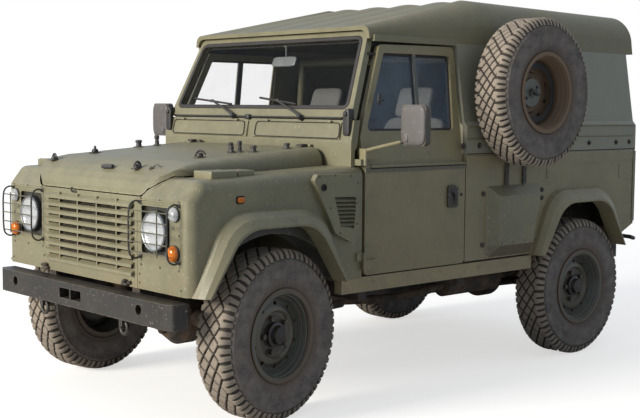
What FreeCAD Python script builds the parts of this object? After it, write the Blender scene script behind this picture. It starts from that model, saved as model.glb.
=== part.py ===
import FreeCAD, Part
import math
import os
import re
import Sketcher
from FreeCAD import Placement, Rotation, Vector

# A light four-wheel-drive army car with a moulded hardtop, in millimetres.
# +X points forward, +Y to the car's left and +Z up. The origin is on the ground,
# below the middle of the car.

doc = FreeCAD.newDocument("ArmyCar")
sheet = doc.addObject("Spreadsheet::Sheet", "Sizes")

# Each row: name, value in millimetres or degrees
SIZES = (
    # wheels and axles
    ("front_axle_x", 1235),
    ("wheelbase", 2360),
    ("half_track", 743),
    ("tyre_radius", 404),
    ("tyre_width", 208),
    ("tread_width", 168),
    ("tread_depth", 14),
    ("rim_radius", 221),
    ("rim_width", 190),
    ("rim_seat_radius", 206),
    ("rim_wall", 7),
    ("rim_well_radius", 176),
    ("disc_offset", 26),
    ("spigot_radius", 58),
    ("nut_circle_radius", 82.5),
    ("disc_hole_circle", 150),
    ("disc_hole_radius", 10),
    ("nut_radius", 13),
    ("hub_flange_radius", 92),
    ("brake_disc_radius", 140),
    ("stub_radius", 40),
    ("seat_gap", 0.3),
    ("running_gap", 0.5),
    ("kingpin_inset", 83),
    ("kingpin_y", "=half_track - kingpin_inset"),
    ("steer_rest", 9),
    ("axle_tube_radius", 44),
    ("swivel_ball_radius", 66),
    ("swivel_wall", 13),
    ("steer_arm_reach", 150),
    ("steer_arm_inset", 60),
    ("steer_arm_drop", 86),
    ("steer_arm_thick", 18),
    ("track_rod_radius", 15),
    ("diff_radius", 148),
    ("diff_y", 60),
    # frame
    ("rail_y", 380),
    ("rail_width", 70),
    ("rail_height", 110),
    ("rail_front_z", 495),
    ("rail_low_z", 440),
    ("rail_arch_z", 545),
    ("member_half_width", 700),
    # bumper
    ("bumper_front_x", 1810),
    ("bumper_depth", 95),
    ("bumper_half_width", 785),
    ("bumper_z", 490),
    ("bumper_height", 115),
    # body planes
    ("side_y", 820),
    ("skin", 30),
    ("sill_top_z", 640),
    ("sill_height", 75),
    ("waist_z", 1165),
    ("nose_x", 1732),
    ("wing_rear_x", 692),
    ("wing_top_front_z", 1140),
    ("wing_top_rear_z", 1176),
    ("wing_inner_y", 612),
    ("panel_top_z", 1052),
    ("panel_bottom_z", 631),
    ("panel_inner_y", 420),
    ("bay_wall_y", 418),
    ("well_radius", 475),
    ("wing_edge_round", 52),
    ("headlamp_y", 565),
    ("headlamp_z", 905),
    ("headlamp_radius", 92),
    ("pocket_half", 110),
    ("pocket_depth", 18),
    ("arch_shift", 27),
    ("arch_top_z", 1005),
    ("arch_foot_half", 450),
    ("arch_head_half", 290),
    ("arch_round", 212),
    ("lip_top_z", 918),
    ("lip_foot_half", 402),
    ("lip_head_half", 217),
    ("lip_round", 185),
    ("lip_wall", 10),
    ("flare_reach", 75),
    # bonnet and scuttle
    ("bonnet_rear_x", 765),
    ("bonnet_side_z", 1150),
    ("bonnet_rear_z", 1262),
    ("bonnet_mid_x", 1435),
    ("bonnet_mid_z", 1212),
    ("bonnet_lip_z", 1081),
    ("bonnet_skin", 22),
    ("bonnet_shoulder", 75),
    ("bonnet_corner_round", 185),
    ("wing_gap", 6),
    ("bonnet_hinge_x", 752),
    ("bonnet_hinge_y", 470),
    ("bonnet_hinge_z", 1268),
    ("bonnet_hinge_half", 15),
    ("bonnet_barrel_radius", 8),
    ("scuttle_front_x", 738),
    ("scuttle_top_z", 1400),
    ("bulkhead_wall", 25),
    # doors
    ("door_front_x", 672),
    ("door_rear_x", -74),
    ("door_thick", 42),
    ("door_frame_thick", 34),
    ("door_gap", 8),
    ("frame_lean", 7.3),
    ("frame_foot_inset", 16),
    ("frame_height", 640),
    ("frame_top_front_x", 487),
    ("window_foot_z", 185),
    ("window_head_z", 575),
    ("glass_thick", 6),
    ("door_hinge_x", 690),
    ("door_hinge_y", 838),
    # windscreen
    ("screen_foot_x", 716),
    ("screen_lean", 23),
    ("screen_height", 470),
    ("screen_foot_half", 762),
    ("screen_head_half", 690),
    ("screen_thick", 38),
    ("screen_border", 48),
    # tub
    ("tub_front_x", -82),
    ("rear_overhang", 570),
    ("tub_rear_x", "=front_axle_x - wheelbase - rear_overhang"),
    ("rail_rear_x", "=tub_rear_x + 55"),
    ("tub_top_z", 1215),
    ("tub_tail_z", 750),
    ("floor_z", 615),
    ("floor_thick", 20),
    ("load_floor_z", 745),
    ("wheel_box_space", 79),
    ("wheel_box_y", "=half_track - tyre_width/2 - wheel_box_space"),
    ("wheel_box_top_z", 965),
    # hardtop
    ("top_ledge_z", 1365),
    ("top_side_head_y", 735),
    ("top_side_head_z", 1806),
    ("top_wall", 20),
    ("roof_front_x", 560),
    ("roof_front_z", 1872),
    ("roof_peak_x", -325),
    ("roof_peak_z", 2062),
    ("roof_overhang", 70),
    ("roof_rear_x", "=tub_rear_x - roof_overhang"),
    ("roof_groove_width", 26),
    ("roof_groove_depth", 12),
    ("roof_groove_spacing", 254),
    ("roof_groove_lead", 130),
    ("roof_rear_z", 2046),
    ("rear_door_half", 440),
    ("rear_door_foot_z", 760),
    ("rear_door_head_z", 1770),
    # engine, cab
    ("engine_front_x", 1500),
    ("engine_length", 640),
    ("engine_half_width", 240),
    ("engine_bottom_z", 620),
    ("engine_top_z", 1030),
    ("seat_width", 470),
    ("seat_y", 370),
    ("seat_front_x", 330),
    ("wheel_ring_radius", 205),
    ("wheel_ring_grip", 14),
    ("column_lean", 30),
    # spare
    ("spare_x", -495),
    ("spare_y", 938),
    ("spare_z", 1550),
    ("locker_depth", 58),
)

for row, (alias, amount) in enumerate(SIZES, start=1):
    sheet.set(f"A{row}", alias)
    sheet.set(f"B{row}", str(amount))
    sheet.setAlias(f"B{row}", alias)
doc.recompute()

ALIASES = {alias for alias, amount in SIZES}
WORD = re.compile(r"[a-z]\w*")
TOP_VIEW, SIDE_VIEW, FRONT_VIEW = "XY_Plane", "XZ_Plane", "YZ_Plane"
probe = doc.addObject("Part::Vertex", "Probe")
nodes = {}


def linked(text):
    """The text as an expression on the sheet: each size's name gets the sheet's name."""
    return WORD.sub(lambda hit: f"Sizes.{hit.group()}" if hit.group() in ALIASES else hit.group(), str(text))


def number(text):
    """What an expression on the sheet comes to."""
    probe.setExpression("X", linked(text))
    probe.recompute()
    return float(probe.X)


def point(x, y, z):
    return Vector(number(x), number(y), number(z))


def bind(thing, links):
    """Ties each property of thing to an expression on the sheet."""
    for name, text in links.items():
        thing.setExpression(name, linked(text))
    return thing


def keep(label, thing):
    """Marks a finished sub-part: its label names its file."""
    thing.Label = label
    nodes[label] = thing
    return thing


def block(label, x, y, z):
    """A box between (low, high) pairs on the three axes."""
    links = {}
    for side, axis, (low, high) in (("Length", "x", x), ("Width", "y", y), ("Height", "z", z)):
        links[side] = f"({high}) - ({low})"
        links[f"Placement.Base.{axis}"] = low
    return bind(doc.addObject("Part::Box", label), links)


def across(low, high, side):
    """A (low, high) pair measured from the middle line, on the left (1) or the right (-1)."""
    return (low, high) if side > 0 else (f"-({high})", f"-({low})")


TURNS = {"x": Rotation(Vector(0, 1, 0), 90), "y": Rotation(Vector(1, 0, 0), -90), "z": Rotation()}


def rod(label, axis, centre, span, radius):
    """A round bar along one axis; centre gives the two other coordinates in X, Y, Z order."""
    places = dict(zip([name for name in "xyz" if name != axis], centre))
    places[axis] = span[0]
    bar = doc.addObject("Part::Cylinder", label)
    bar.Placement = Placement(Vector(), TURNS[axis])
    links = {f"Placement.Base.{name}": text for name, text in places.items()}
    links.update({"Radius": radius, "Height": f"({span[1]}) - ({span[0]})"})
    return bind(bar, links)


def ball(label, centre, radius):
    links = {f"Placement.Base.{name}": text for name, text in zip("xyz", centre)}
    return bind(doc.addObject("Part::Sphere", label), links | {"Radius": radius})


def join(label, parts):
    whole = doc.addObject("Part::MultiFuse", label)
    whole.Shapes = parts
    return whole


def carve(label, base, tools):
    """The base with the tools cut out of it."""
    rest = doc.addObject("Part::Cut", label)
    rest.Base = base
    rest.Tool = tools[0] if len(tools) == 1 else join(f"{label}_tools", tools)
    return rest


def overlap(label, first, second):
    shared = doc.addObject("Part::Common", label)
    shared.Base = first
    shared.Tool = second
    return shared


def mirrored(label, source):
    """The same piece on the other side of the middle line."""
    copy = doc.addObject("Part::Mirroring", label)
    copy.Source = source
    copy.Normal = Vector(0, 1, 0)
    return copy


def origin_plane(body, role):
    return next(item for item in body.Origin.OriginFeatures if item.Role == role)


def sketch_on(body, label, role, corners, level):
    """A closed outline of straight edges on one of the body's own planes, moved to level."""
    outline = body.newObject("Sketcher::SketchObject", label)
    outline.AttachmentSupport = [(origin_plane(body, role), "")]
    outline.MapMode = "FlatFace"
    places = [Vector(number(across_text), number(up_text), 0) for across_text, up_text in corners]
    count = len(corners)
    outline.addGeometry([Part.LineSegment(places[i], places[(i + 1) % count]) for i in range(count)], False)
    outline.addConstraint([Sketcher.Constraint("Coincident", i, 2, (i + 1) % count, 1) for i in range(count)])
    for i, texts in enumerate(corners):
        for kind, text, start in zip(("DistanceX", "DistanceY"), texts, (places[i].x, places[i].y)):
            held = outline.addConstraint(Sketcher.Constraint(kind, -1, 1, i, 1, start))
            if ALIASES & set(WORD.findall(str(text))):
                outline.setExpression(f"Constraints[{held}]", linked(text))
    outline.setExpression("AttachmentOffset.Base.z", linked(level))
    return outline


def profile(label, role, corners, span, rounds=()):
    """A body: an outline padded over span along its plane's normal.

    rounds lists (radius, corner numbers): the long edges there are rounded.
    """
    low, high = span
    body = doc.addObject("PartDesign::Body", label)
    level = f"-({high})" if role == SIDE_VIEW else low
    outline = sketch_on(body, f"{label}_outline", role, corners, level)
    pad = body.newObject("PartDesign::Pad", f"{label}_pad")
    pad.Profile = outline
    pad.setExpression("Length", linked(f"({high}) - ({low})"))
    doc.recompute()
    for radius, chosen in rounds:
        base = body.Tip
        edges = [f"Edge{i}" for i, edge in enumerate(base.Shape.Edges, start=1)
                 if any(edge_at(edge, role, corners[corner]) for corner in chosen)]
        fillet = body.newObject("PartDesign::Fillet", f"{label}_round")
        fillet.Base = (base, edges)
        fillet.setExpression("Radius", linked(radius))
        doc.recompute()
    return body


def both_sides(corners, role=FRONT_VIEW):
    """The corners on the left, then their mirror images, in order round the outline."""
    if role == FRONT_VIEW:
        return corners + [(f"-({y})", z) for y, z in reversed(corners)]
    return corners + [(x, f"-({y})") for x, y in reversed(corners)]


def edge_at(edge, role, corner):
    """Whether a straight edge runs along the plane's normal through a corner of the outline."""
    first, last = edge.Vertexes[0].Point, edge.Vertexes[-1].Point
    pick = {TOP_VIEW: (0, 1), SIDE_VIEW: (0, 2), FRONT_VIEW: (1, 2)}[role]
    want = [number(text) for text in corner]
    return all(abs(end[axis] - value) < 0.01 for end in (first, last) for axis, value in zip(pick, want))


def turned(label, corners):
    """A body: an outline of (radius, distance along) corners turned about the Y axis."""
    body = doc.addObject("PartDesign::Body", label)
    outline = sketch_on(body, f"{label}_outline", TOP_VIEW, corners, "0")
    spin = body.newObject("PartDesign::Revolution", f"{label}_turn")
    spin.Profile = outline
    spin.ReferenceAxis = (outline, ["V_Axis"])
    spin.Angle = 360
    return body


def lean(thing, axis, angle, base):
    """Turns a piece, modelled about its own origin, by angle and carries it to base."""
    thing.Placement = Placement(Vector(), Rotation(axis, 1))
    links = {f"Placement.Base.{name}": text for name, text in zip("xyz", base)}
    return bind(thing, links | {"Placement.Rotation.Angle": angle})


def solid_from(label, shape):
    """A piece whose shape is made by Part's own functions from sizes on the sheet."""
    piece = doc.addObject("Part::Feature", label)
    piece.Shape = shape
    return piece


def bar_between(label, start, end, radius):
    """A round bar from one point to another."""
    first, last = point(*start), point(*end)
    return solid_from(label, Part.makeCylinder(number(radius), (last - first).Length, first, last - first))


def arch_wire(foot, head, top, radius, centre, foot_z, y):
    """A closed wheel arch outline: a trapezium open side down whose two top corners are round."""
    foot, head, top, radius = number(foot), number(head), number(top), number(radius)
    centre, foot_z, y = number(centre), number(foot_z), number(y)
    slope = Vector(foot - head, 0, foot_z - top).normalize()
    reach = radius * math.tan((math.pi - slope.getAngle(Vector(-1, 0, 0))) / 2)
    corners = []
    for sign in (1, -1):
        corner = Vector(sign * head, 0, top)
        down = Vector(sign * slope.x, 0, slope.z)
        along = Vector(-sign, 0, 0)
        inward = (down + along).normalize()
        centre_point = corner + inward * math.hypot(reach, radius)
        middle = centre_point - inward * radius
        corners.append((corner + down * reach, middle, corner + along * reach))
    shift = Vector(centre, y, 0)
    right, left = corners
    places = [Vector(foot, 0, foot_z), *right, *reversed(left), Vector(-foot, 0, foot_z)]
    start, a_low, a_mid, a_top, b_top, b_mid, b_low, end = [place + shift for place in places]
    edges = [Part.LineSegment(start, a_low), Part.Arc(a_low, a_mid, a_top), Part.LineSegment(a_top, b_top),
             Part.Arc(b_top, b_mid, b_low), Part.LineSegment(b_low, end), Part.LineSegment(end, start)]
    return Part.Wire([edge.toShape() for edge in edges])


REAR_AXLE_X = "front_axle_x - wheelbase"
AXLE_Z = "tyre_radius"
RAIL_FRONT_X = "bumper_front_x - bumper_depth - seat_gap"
FLOOR_UNDER_Z = "floor_z - floor_thick"

# ---- wheels: a tyre on a deep steel rim with its hub, turning about Y at its own origin

RIM_PROFILE = (
    # radius, distance outward from the wheel's middle plane
    ("rim_radius", "rim_width/2"),
    ("rim_radius", "rim_width/2 - rim_wall"),
    ("rim_seat_radius", "rim_width/2 - rim_wall - 3"),
    ("rim_seat_radius - 4", "rim_width/4"),
    ("rim_well_radius + rim_wall", "rim_width/6"),
    ("rim_well_radius + rim_wall", "-rim_width/6"),
    ("rim_seat_radius - 4", "-rim_width/4"),
    ("rim_seat_radius", "-(rim_width/2 - rim_wall - 3)"),
    ("rim_radius", "-(rim_width/2 - rim_wall)"),
    ("rim_radius", "-rim_width/2"),
    ("rim_seat_radius - rim_wall", "-rim_width/2"),
    ("rim_well_radius", "-rim_width/6"),
    ("rim_well_radius", "rim_width/6"),
    ("rim_seat_radius - rim_wall", "rim_width/2"),
)
TYRE_PROFILE = (
    ("rim_seat_radius + seat_gap", "rim_width/2 - rim_wall - 4"),
    ("rim_radius + 4", "rim_width/2 - rim_wall - 1"),
    ("rim_radius + 24", "tyre_width/2 - 4"),
    ("(rim_radius + tyre_radius)/2", "tyre_width/2"),
    ("tyre_radius - 40", "tyre_width/2 - 6"),
    ("tyre_radius - tread_depth", "tread_width/2"),
)
DISC_PROFILE = (
    ("rim_well_radius + rim_wall/2", "disc_offset - 6"),
    ("nut_circle_radius + 36", "disc_offset + 16"),
    ("nut_circle_radius + 24", "disc_offset"),
    ("spigot_radius + seat_gap", "disc_offset"),
    ("spigot_radius + seat_gap", "disc_offset + 8"),
    ("nut_circle_radius + 20", "disc_offset + 8"),
    ("nut_circle_radius + 33", "disc_offset + 25"),
    ("rim_well_radius + rim_wall/2", "disc_offset + 4"),
)
HUB_PROFILE = (
    ("0", "disc_offset - 9"),
    ("stub_radius + running_gap", "disc_offset - 9"),
    ("stub_radius + running_gap", "-8"),
    ("brake_disc_radius", "-8"),
    ("brake_disc_radius", "0"),
    ("hub_flange_radius", "0"),
    ("hub_flange_radius", "disc_offset"),
    ("spigot_radius", "disc_offset"),
    ("spigot_radius", "disc_offset + 26"),
    ("spigot_radius - 12", "disc_offset + 30"),
    ("spigot_radius - 20", "disc_offset + 52"),
    ("0", "disc_offset + 54"),
)
WHEELS = (
    # corner, X of the axle, side, steered
    ("fl", "front_axle_x", 1, True),
    ("fr", "front_axle_x", -1, True),
    ("rl", REAR_AXLE_X, 1, False),
    ("rr", REAR_AXLE_X, -1, False),
)


def tyre(label):
    """The tyre's carcass with its tread as a ring out to the tips of the lugs."""
    crown = ("tyre_radius", "tread_width/2 - 12")
    outer = TYRE_PROFILE + (crown,)
    return turned(label, outer + tuple((radius, f"-({along})") for radius, along in reversed(outer)))


def rim(label):
    return turned(label, RIM_PROFILE)


def wheel_centre(label, with_hub):
    """The dished disc with its five nuts, and the hub that it sits on."""
    holes = []
    for i in range(10):
        turn = f"{36 * i + 18}deg"
        centre = (f"disc_hole_circle*cos({turn})", f"disc_hole_circle*sin({turn})")
        holes.append(rod(f"{label}_hole_{i}", "y", centre, ("disc_offset - 20", "disc_offset + 40"),
                         "disc_hole_radius"))
    parts = [carve(f"{label}_disc", turned(f"{label}_dish", DISC_PROFILE), holes)]
    if with_hub:
        parts.append(turned(f"{label}_hub", HUB_PROFILE))
        for i in range(5):
            turn = f"{72 * i}deg"
            centre = (f"nut_circle_radius*cos({turn})", f"nut_circle_radius*sin({turn})")
            parts.append(rod(f"{label}_nut_{i}", "y", centre, ("disc_offset + 3", "disc_offset + 28"),
                             "nut_radius"))
    return parts


for corner, axle_x, side, steered in WHEELS:
    placed = {"tyre": tyre(f"tyre_{corner}"),
              "wheel": join(f"wheel_{corner}", [rim(f"rim_{corner}")] + wheel_centre(f"centre_{corner}",
                      True))}
    facing = "0" if side > 0 else "180"
    for kind, thing in placed.items():
        if steered:
            scrub = "(half_track - kingpin_y)"
            base = (f"{axle_x} - {side}*{scrub}*sin(steer_rest*1deg)",
                    f"{side}*(kingpin_y + {scrub}*cos(steer_rest*1deg))", AXLE_Z)
            lean(thing, Vector(0, 0, 1), f"steer_rest + {facing}", base)
        else:
            lean(thing, Vector(0, 0, 1), facing, (axle_x, f"{side}*half_track", AXLE_Z))
        keep(f"{kind}_{corner}", thing)

# ---- axles: a tube with the differential's casing, ending in balls in front and stubs behind


BOWL_PROFILE = (
    # radius, distance along the car
    ("0", "-118"), ("diff_radius - 50", "-112"), ("diff_radius", "-42"), ("diff_radius", "40"),
    ("diff_radius - 38", "88"), ("0", "116"),
)


def axle_casing(label, axle_x, nose_sign, half_length):
    """The tube, the casing's bowl and the pinion's nose, which points to the middle of the car."""
    tube = rod(f"{label}_tube", "y", (axle_x, AXLE_Z), (f"-({half_length})", half_length), "axle_tube_radius")
    bowl = lean(turned(f"{label}_bowl", BOWL_PROFILE), Vector(0, 0, 1), "-90", (axle_x, "diff_y", AXLE_Z))
    low, high = (f"{axle_x} - 255", axle_x) if nose_sign < 0 else (axle_x, f"{axle_x} + 255")
    nose = rod(f"{label}_nose", "x", ("diff_y", f"{AXLE_Z} + 20"), (low, high), "62")
    return [tube, bowl, nose]


def coil(label, x, y, foot, head):
    """A coil spring's outline about its damper: rings of wire on a sleeve."""
    turns = 6
    pitch = f"(({head}) - ({foot}))/{2 * turns}"
    corners = [("34", "0"), ("34", f"({head}) - ({foot})")]
    for i in range(2 * turns, -1, -1):
        corners.append(("58" if i % 2 else "44", f"{pitch}*{i}"))
    spring = turned(label, corners)
    return lean(spring, Vector(1, 0, 0), "90", (x, y, foot))


SPRING_Y = "rail_y + rail_width/2 + 65"
front_springs = [coil(f"front_spring_{side}", "front_axle_x", f"{side}*({SPRING_Y})", f"{AXLE_Z} + 30",
                      "rail_arch_z + 235")
                 for side in (1, -1)]
ARM_UNDER_Z = "rail_low_z - running_gap"
front_arms = [bar_between(f"radius_arm_{side}", ("front_axle_x", side * 470, AXLE_Z),
                          (410, side * 375, f"{ARM_UNDER_Z} - 26"), "26")
              for side in (1, -1)]
swivel_balls = []
for side in (1, -1):
    globe = ball(f"swivel_ball_{side}", ("front_axle_x", f"{side}*kingpin_y", AXLE_Z), "swivel_ball_radius")
    trim = block(f"swivel_trim_{side}", ("front_axle_x - 90", "front_axle_x + 90"),
                 across("kingpin_y + 36", "kingpin_y + 90", side), (f"{AXLE_Z} - 90", f"{AXLE_Z} + 90"))
    flange = rod(f"swivel_flange_{side}", "y", ("front_axle_x", AXLE_Z),
                 across("kingpin_y - 105", "kingpin_y - 87", side), "axle_tube_radius + 22")
    swivel_balls += [carve(f"swivel_{side}", globe, [trim]), flange]
keep("front_axle", join("front_axle", axle_casing("front", "front_axle_x", -1, "kingpin_y")
                        + swivel_balls + front_springs + front_arms))

rear_springs = [coil(f"rear_spring_{side}", REAR_AXLE_X, f"{side}*(rail_y + 10)", f"{AXLE_Z} + 30",
                     "rail_arch_z + 15 - running_gap")
                for side in (1, -1)]
rear_arms = [bar_between(f"trailing_arm_{side}", (REAR_AXLE_X, side * 430, AXLE_Z),
                         (-310, side * 375, f"{ARM_UNDER_Z} - 24"), "24")
             for side in (1, -1)]
rear_stubs, rear_calipers = [], []
for side in (1, -1):
    rear_stubs.append(rod(f"rear_stub_{side}", "y", (REAR_AXLE_X, AXLE_Z),
                          across("half_track - 20", "half_track + disc_offset - 14", side), "stub_radius"))
    rear_calipers.append(rod(f"rear_backing_{side}", "y", (REAR_AXLE_X, AXLE_Z),
                             across("half_track - 45", "half_track - 20", side), "hub_flange_radius"))
keep("rear_axle", join("rear_axle", axle_casing("rear", REAR_AXLE_X, 1, "half_track - 20")
                       + rear_springs + rear_arms + rear_stubs + rear_calipers))

# ---- steering knuckles: a spherical housing about the axle's ball, with the stub and the arm


def knuckle(label, side):
    """Modelled about the king pin at its own origin, the wheel straight ahead."""
    outer = "swivel_ball_radius + running_gap + swivel_wall"
    shell = carve(f"{label}_shell", ball(f"{label}_globe", ("0", "0", "0"), outer),
                  [ball(f"{label}_cup", ("0", "0", "0"), "swivel_ball_radius + running_gap"),
                   block(f"{label}_mouth", ("-100", "100"), across("-100", "4", side), ("-100", "100"))])
    stub = rod(f"{label}_stub", "y", ("0", "0"),
               across("swivel_ball_radius + 6", "half_track - kingpin_y + disc_offset - 14", side),
               "stub_radius")
    pins = [rod(f"{label}_pin_{end}", "z", ("0", "0"), span, "26")
            for end, span in (("low", ("-(steer_arm_drop + steer_arm_thick)", "-(swivel_ball_radius + 2)")),
                              ("high", ("swivel_ball_radius + 2", "swivel_ball_radius + swivel_wall + 12")))]
    arm_corners = (("26", "-22"), ("26", "22"), ("-20", "26"),
                   ("-steer_arm_reach - 18", "-steer_arm_inset + 20"),
                   ("-steer_arm_reach - 18", "-steer_arm_inset - 20"), ("-20", "-26"))
    arm = profile(f"{label}_arm", TOP_VIEW, [(x, f"{side}*({y})") for x, y in arm_corners],
                  ("-(steer_arm_drop + steer_arm_thick)", "-steer_arm_drop"))
    return join(label, [shell, stub, arm] + pins)


for name, side in (("left", 1), ("right", -1)):
    hub_carrier = knuckle(f"knuckle_{name}", side)
    lean(hub_carrier, Vector(0, 0, 1), "steer_rest", ("front_axle_x", f"{side}*kingpin_y", AXLE_Z))
    keep(f"knuckle_{name}", hub_carrier)

# The track rod lies on the two arms, behind the axle; each eye is above its arm's end.
ROD_Z = f"{AXLE_Z} - steer_arm_drop + running_gap + track_rod_radius"
ROD_X = "front_axle_x - steer_arm_reach*cos(steer_rest*1deg)"
EYE_Y = "(kingpin_y - steer_arm_inset*cos(steer_rest*1deg))"
EYE_DRIFT = "steer_arm_reach*sin(steer_rest*1deg)"
arm_ends = [(ROD_X, f"{side}*{EYE_Y} - {EYE_DRIFT}") for side in (1, -1)]
eyes = [rod(f"track_eye_{i}", "z", end, (f"{ROD_Z} - track_rod_radius", f"{ROD_Z} + track_rod_radius"), "18")
        for i, end in enumerate(arm_ends)]
tie = bar_between("track_tube", (*arm_ends[0], ROD_Z), (*arm_ends[1], ROD_Z), "track_rod_radius")
keep("track_rod", join("track_rod", eyes + [tie]))

# ---- frame: two rails that rise over the axles, cross members and outriggers

RAIL_TOP = (
    # X, height of the rail's lower edge
    (RAIL_FRONT_X, "rail_front_z"),
    ("front_axle_x + 290", "rail_front_z + 10"),
    ("front_axle_x + 130", "rail_arch_z"),
    ("front_axle_x - 170", "rail_arch_z"),
    ("front_axle_x - 480", "rail_low_z"),
    (f"{REAR_AXLE_X} + 560", "rail_low_z"),
    (f"{REAR_AXLE_X} + 230", "rail_arch_z + 15"),
    (f"{REAR_AXLE_X} - 230", "rail_arch_z + 15"),
    ("rail_rear_x", "rail_arch_z - 20"),
)
rail_outline = [(x, z) for x, z in RAIL_TOP] + [(x, f"{z} + rail_height") for x, z in reversed(RAIL_TOP)]
frame_parts = [profile(f"rail_{name}", SIDE_VIEW, rail_outline,
                       across("rail_y - rail_width/2", "rail_y + rail_width/2", side))
               for name, side in (("left", 1), ("right", -1))]
MEMBERS = (
    # name, X from, X to, half width, Z from, Z to
    ("front_member", f"{RAIL_FRONT_X} - 70", f"{RAIL_FRONT_X} - 10", "rail_y", "rail_front_z + 10",
     "rail_front_z + 80"),
    ("gearbox_member", "190", "250", "rail_y", "rail_low_z + 10", "rail_low_z + 60"),
    ("middle_member", "-420", "-360", "rail_y", "rail_low_z + 72", "rail_low_z + 108"),
    ("rear_member", "rail_rear_x - 60", "rail_rear_x + 20", "member_half_width", "525", "650"),
)
for name, x_from, x_to, half, z_from, z_to in MEMBERS:
    frame_parts.append(block(name, (x_from, x_to), (f"-({half})", half), (z_from, z_to)))
for name, x_from in (("front", 600), ("rear", -150)):
    for side in (1, -1):
        frame_parts.append(block(f"{name}_outrigger_{side}", (x_from, x_from + 55),
                                 across("rail_y", "side_y - 60", side),
                                 ("rail_low_z + 60", f"{FLOOR_UNDER_Z} - seat_gap")))
for side in (1, -1):
    frame_parts.append(block(f"panel_mount_{side}", (f"{RAIL_FRONT_X} - 60", RAIL_FRONT_X),
                             across("rail_y - 30", "rail_y + 30", side),
                             ("rail_front_z + rail_height - 5", "panel_bottom_z - seat_gap")))
    frame_parts.append(block(f"engine_mount_{side}", ("front_axle_x - 50", "front_axle_x + 30"),
                             across("engine_half_width + seat_gap", "rail_y", side),
                             ("rail_arch_z + 50", "rail_arch_z + rail_height - 5")))
hitch_plate = block("hitch_plate", ("rail_rear_x - 90", "rail_rear_x - 60"), ("-90", "90"), ("510", "650"))
hitch_stem = rod("hitch_stem", "x", ("0", "580"), ("rail_rear_x - 165", "rail_rear_x - 60"), "34")
spring_towers = [block(f"spring_tower_{side}", ("front_axle_x - 60", "front_axle_x + 60"),
                       across("rail_y + rail_width/2", f"{SPRING_Y} + 55", side),
                       ("rail_arch_z + 235 + running_gap", "rail_arch_z + 255"))
                 for side in (1, -1)]
tower_webs = [block(f"tower_web_{side}", ("front_axle_x - 60", "front_axle_x + 60"),
                    across("rail_y + rail_width/2 - 20", "rail_y + rail_width/2 - 8", side),
                    ("rail_arch_z + rail_height - 10", "rail_arch_z + 255"))
              for side in (1, -1)]
tower_tops = [block(f"tower_top_{side}", ("front_axle_x - 60", "front_axle_x + 60"),
                    across("rail_y + rail_width/2 - 20", "rail_y + rail_width/2 + 1", side),
                    ("rail_arch_z + 235 + running_gap", "rail_arch_z + 255"))
              for side in (1, -1)]
keep("chassis_frame", join("chassis_frame", frame_parts + [hitch_plate, hitch_stem]
                           + spring_towers + tower_webs + tower_tops))

# ---- front bumper: a deep box section with holes, a slot and two towing rings under it

bumper_front, bumper_back = "bumper_front_x", "bumper_front_x - bumper_depth"
bumper_plan = [(bumper_back, "bumper_half_width"), (bumper_back, "-bumper_half_width"),
               (f"{bumper_front} - 22", "-bumper_half_width"), (bumper_front, "-bumper_half_width + 45"),
               (bumper_front, "bumper_half_width - 45"), (f"{bumper_front} - 22", "bumper_half_width")]
beam = profile("bumper_beam", TOP_VIEW, bumper_plan, ("bumper_z", "bumper_z + bumper_height"),
               [("18", (2, 5))])
BUMPER_MID = "bumper_z + bumper_height/2"
bumper_cuts = [rod(f"bumper_hole_{i}", "x", (y, f"{BUMPER_MID} + 8"),
                   (f"{bumper_front} - 60", f"{bumper_front} + 1"), "24")
               for i, y in enumerate((-600, 540))]
bumper_cuts += [block(f"bumper_slot_{i}", (f"{bumper_front} - 60", f"{bumper_front} + 1"), span,
                      (f"{BUMPER_MID} - 22", f"{BUMPER_MID} + 28"))
                for i, span in enumerate((("-153", "-58"), ("-48", "47")))]
bumper_form = carve("bumper_form", beam, bumper_cuts)


def towing_ring(side):
    """A lug under the bumper with a ring that hangs from its pin."""
    lug = block(f"lug_{side}", ("bumper_front_x - 62", "bumper_front_x - 18"), across("352", "378", side),
                ("bumper_z - 34", "bumper_z"))
    ring = doc.addObject("Part::Torus", f"ring_{side}")
    ring.Placement = Placement(Vector(), Rotation(Vector(0, 1, 0), 90))
    bind(ring, {"Radius1": "28", "Radius2": "9", "Placement.Base.x": "bumper_front_x - 40",
                "Placement.Base.y": f"{side}*365", "Placement.Base.z": "bumper_z - 46"})
    return [lug, ring]


keep("front_bumper", join("front_bumper", [bumper_form] + towing_ring(1) + towing_ring(-1)))

# ---- wings: a top and a side round a wheel well, a headlamp panel in front, an inner wall

WHEEL_X = {"front": "front_axle_x", "rear": REAR_AXLE_X}


FLARE_ENDS = (
    # at the body's side and at the lip: half the foot, half the head, top, corner radius
    ("arch_foot_half", "lip_foot_half + lip_wall"),
    ("arch_head_half", "lip_head_half + lip_wall"),
    ("arch_top_z", "lip_top_z + lip_wall"),
    ("arch_round", "lip_round"),
)
FLARE_BULGE = (
    # share of the reach outward, share of the fall from the body's side to the lip
    (0, 0), (0.45, 0.2), (0.8, 0.55), (1, 1),
)


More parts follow.
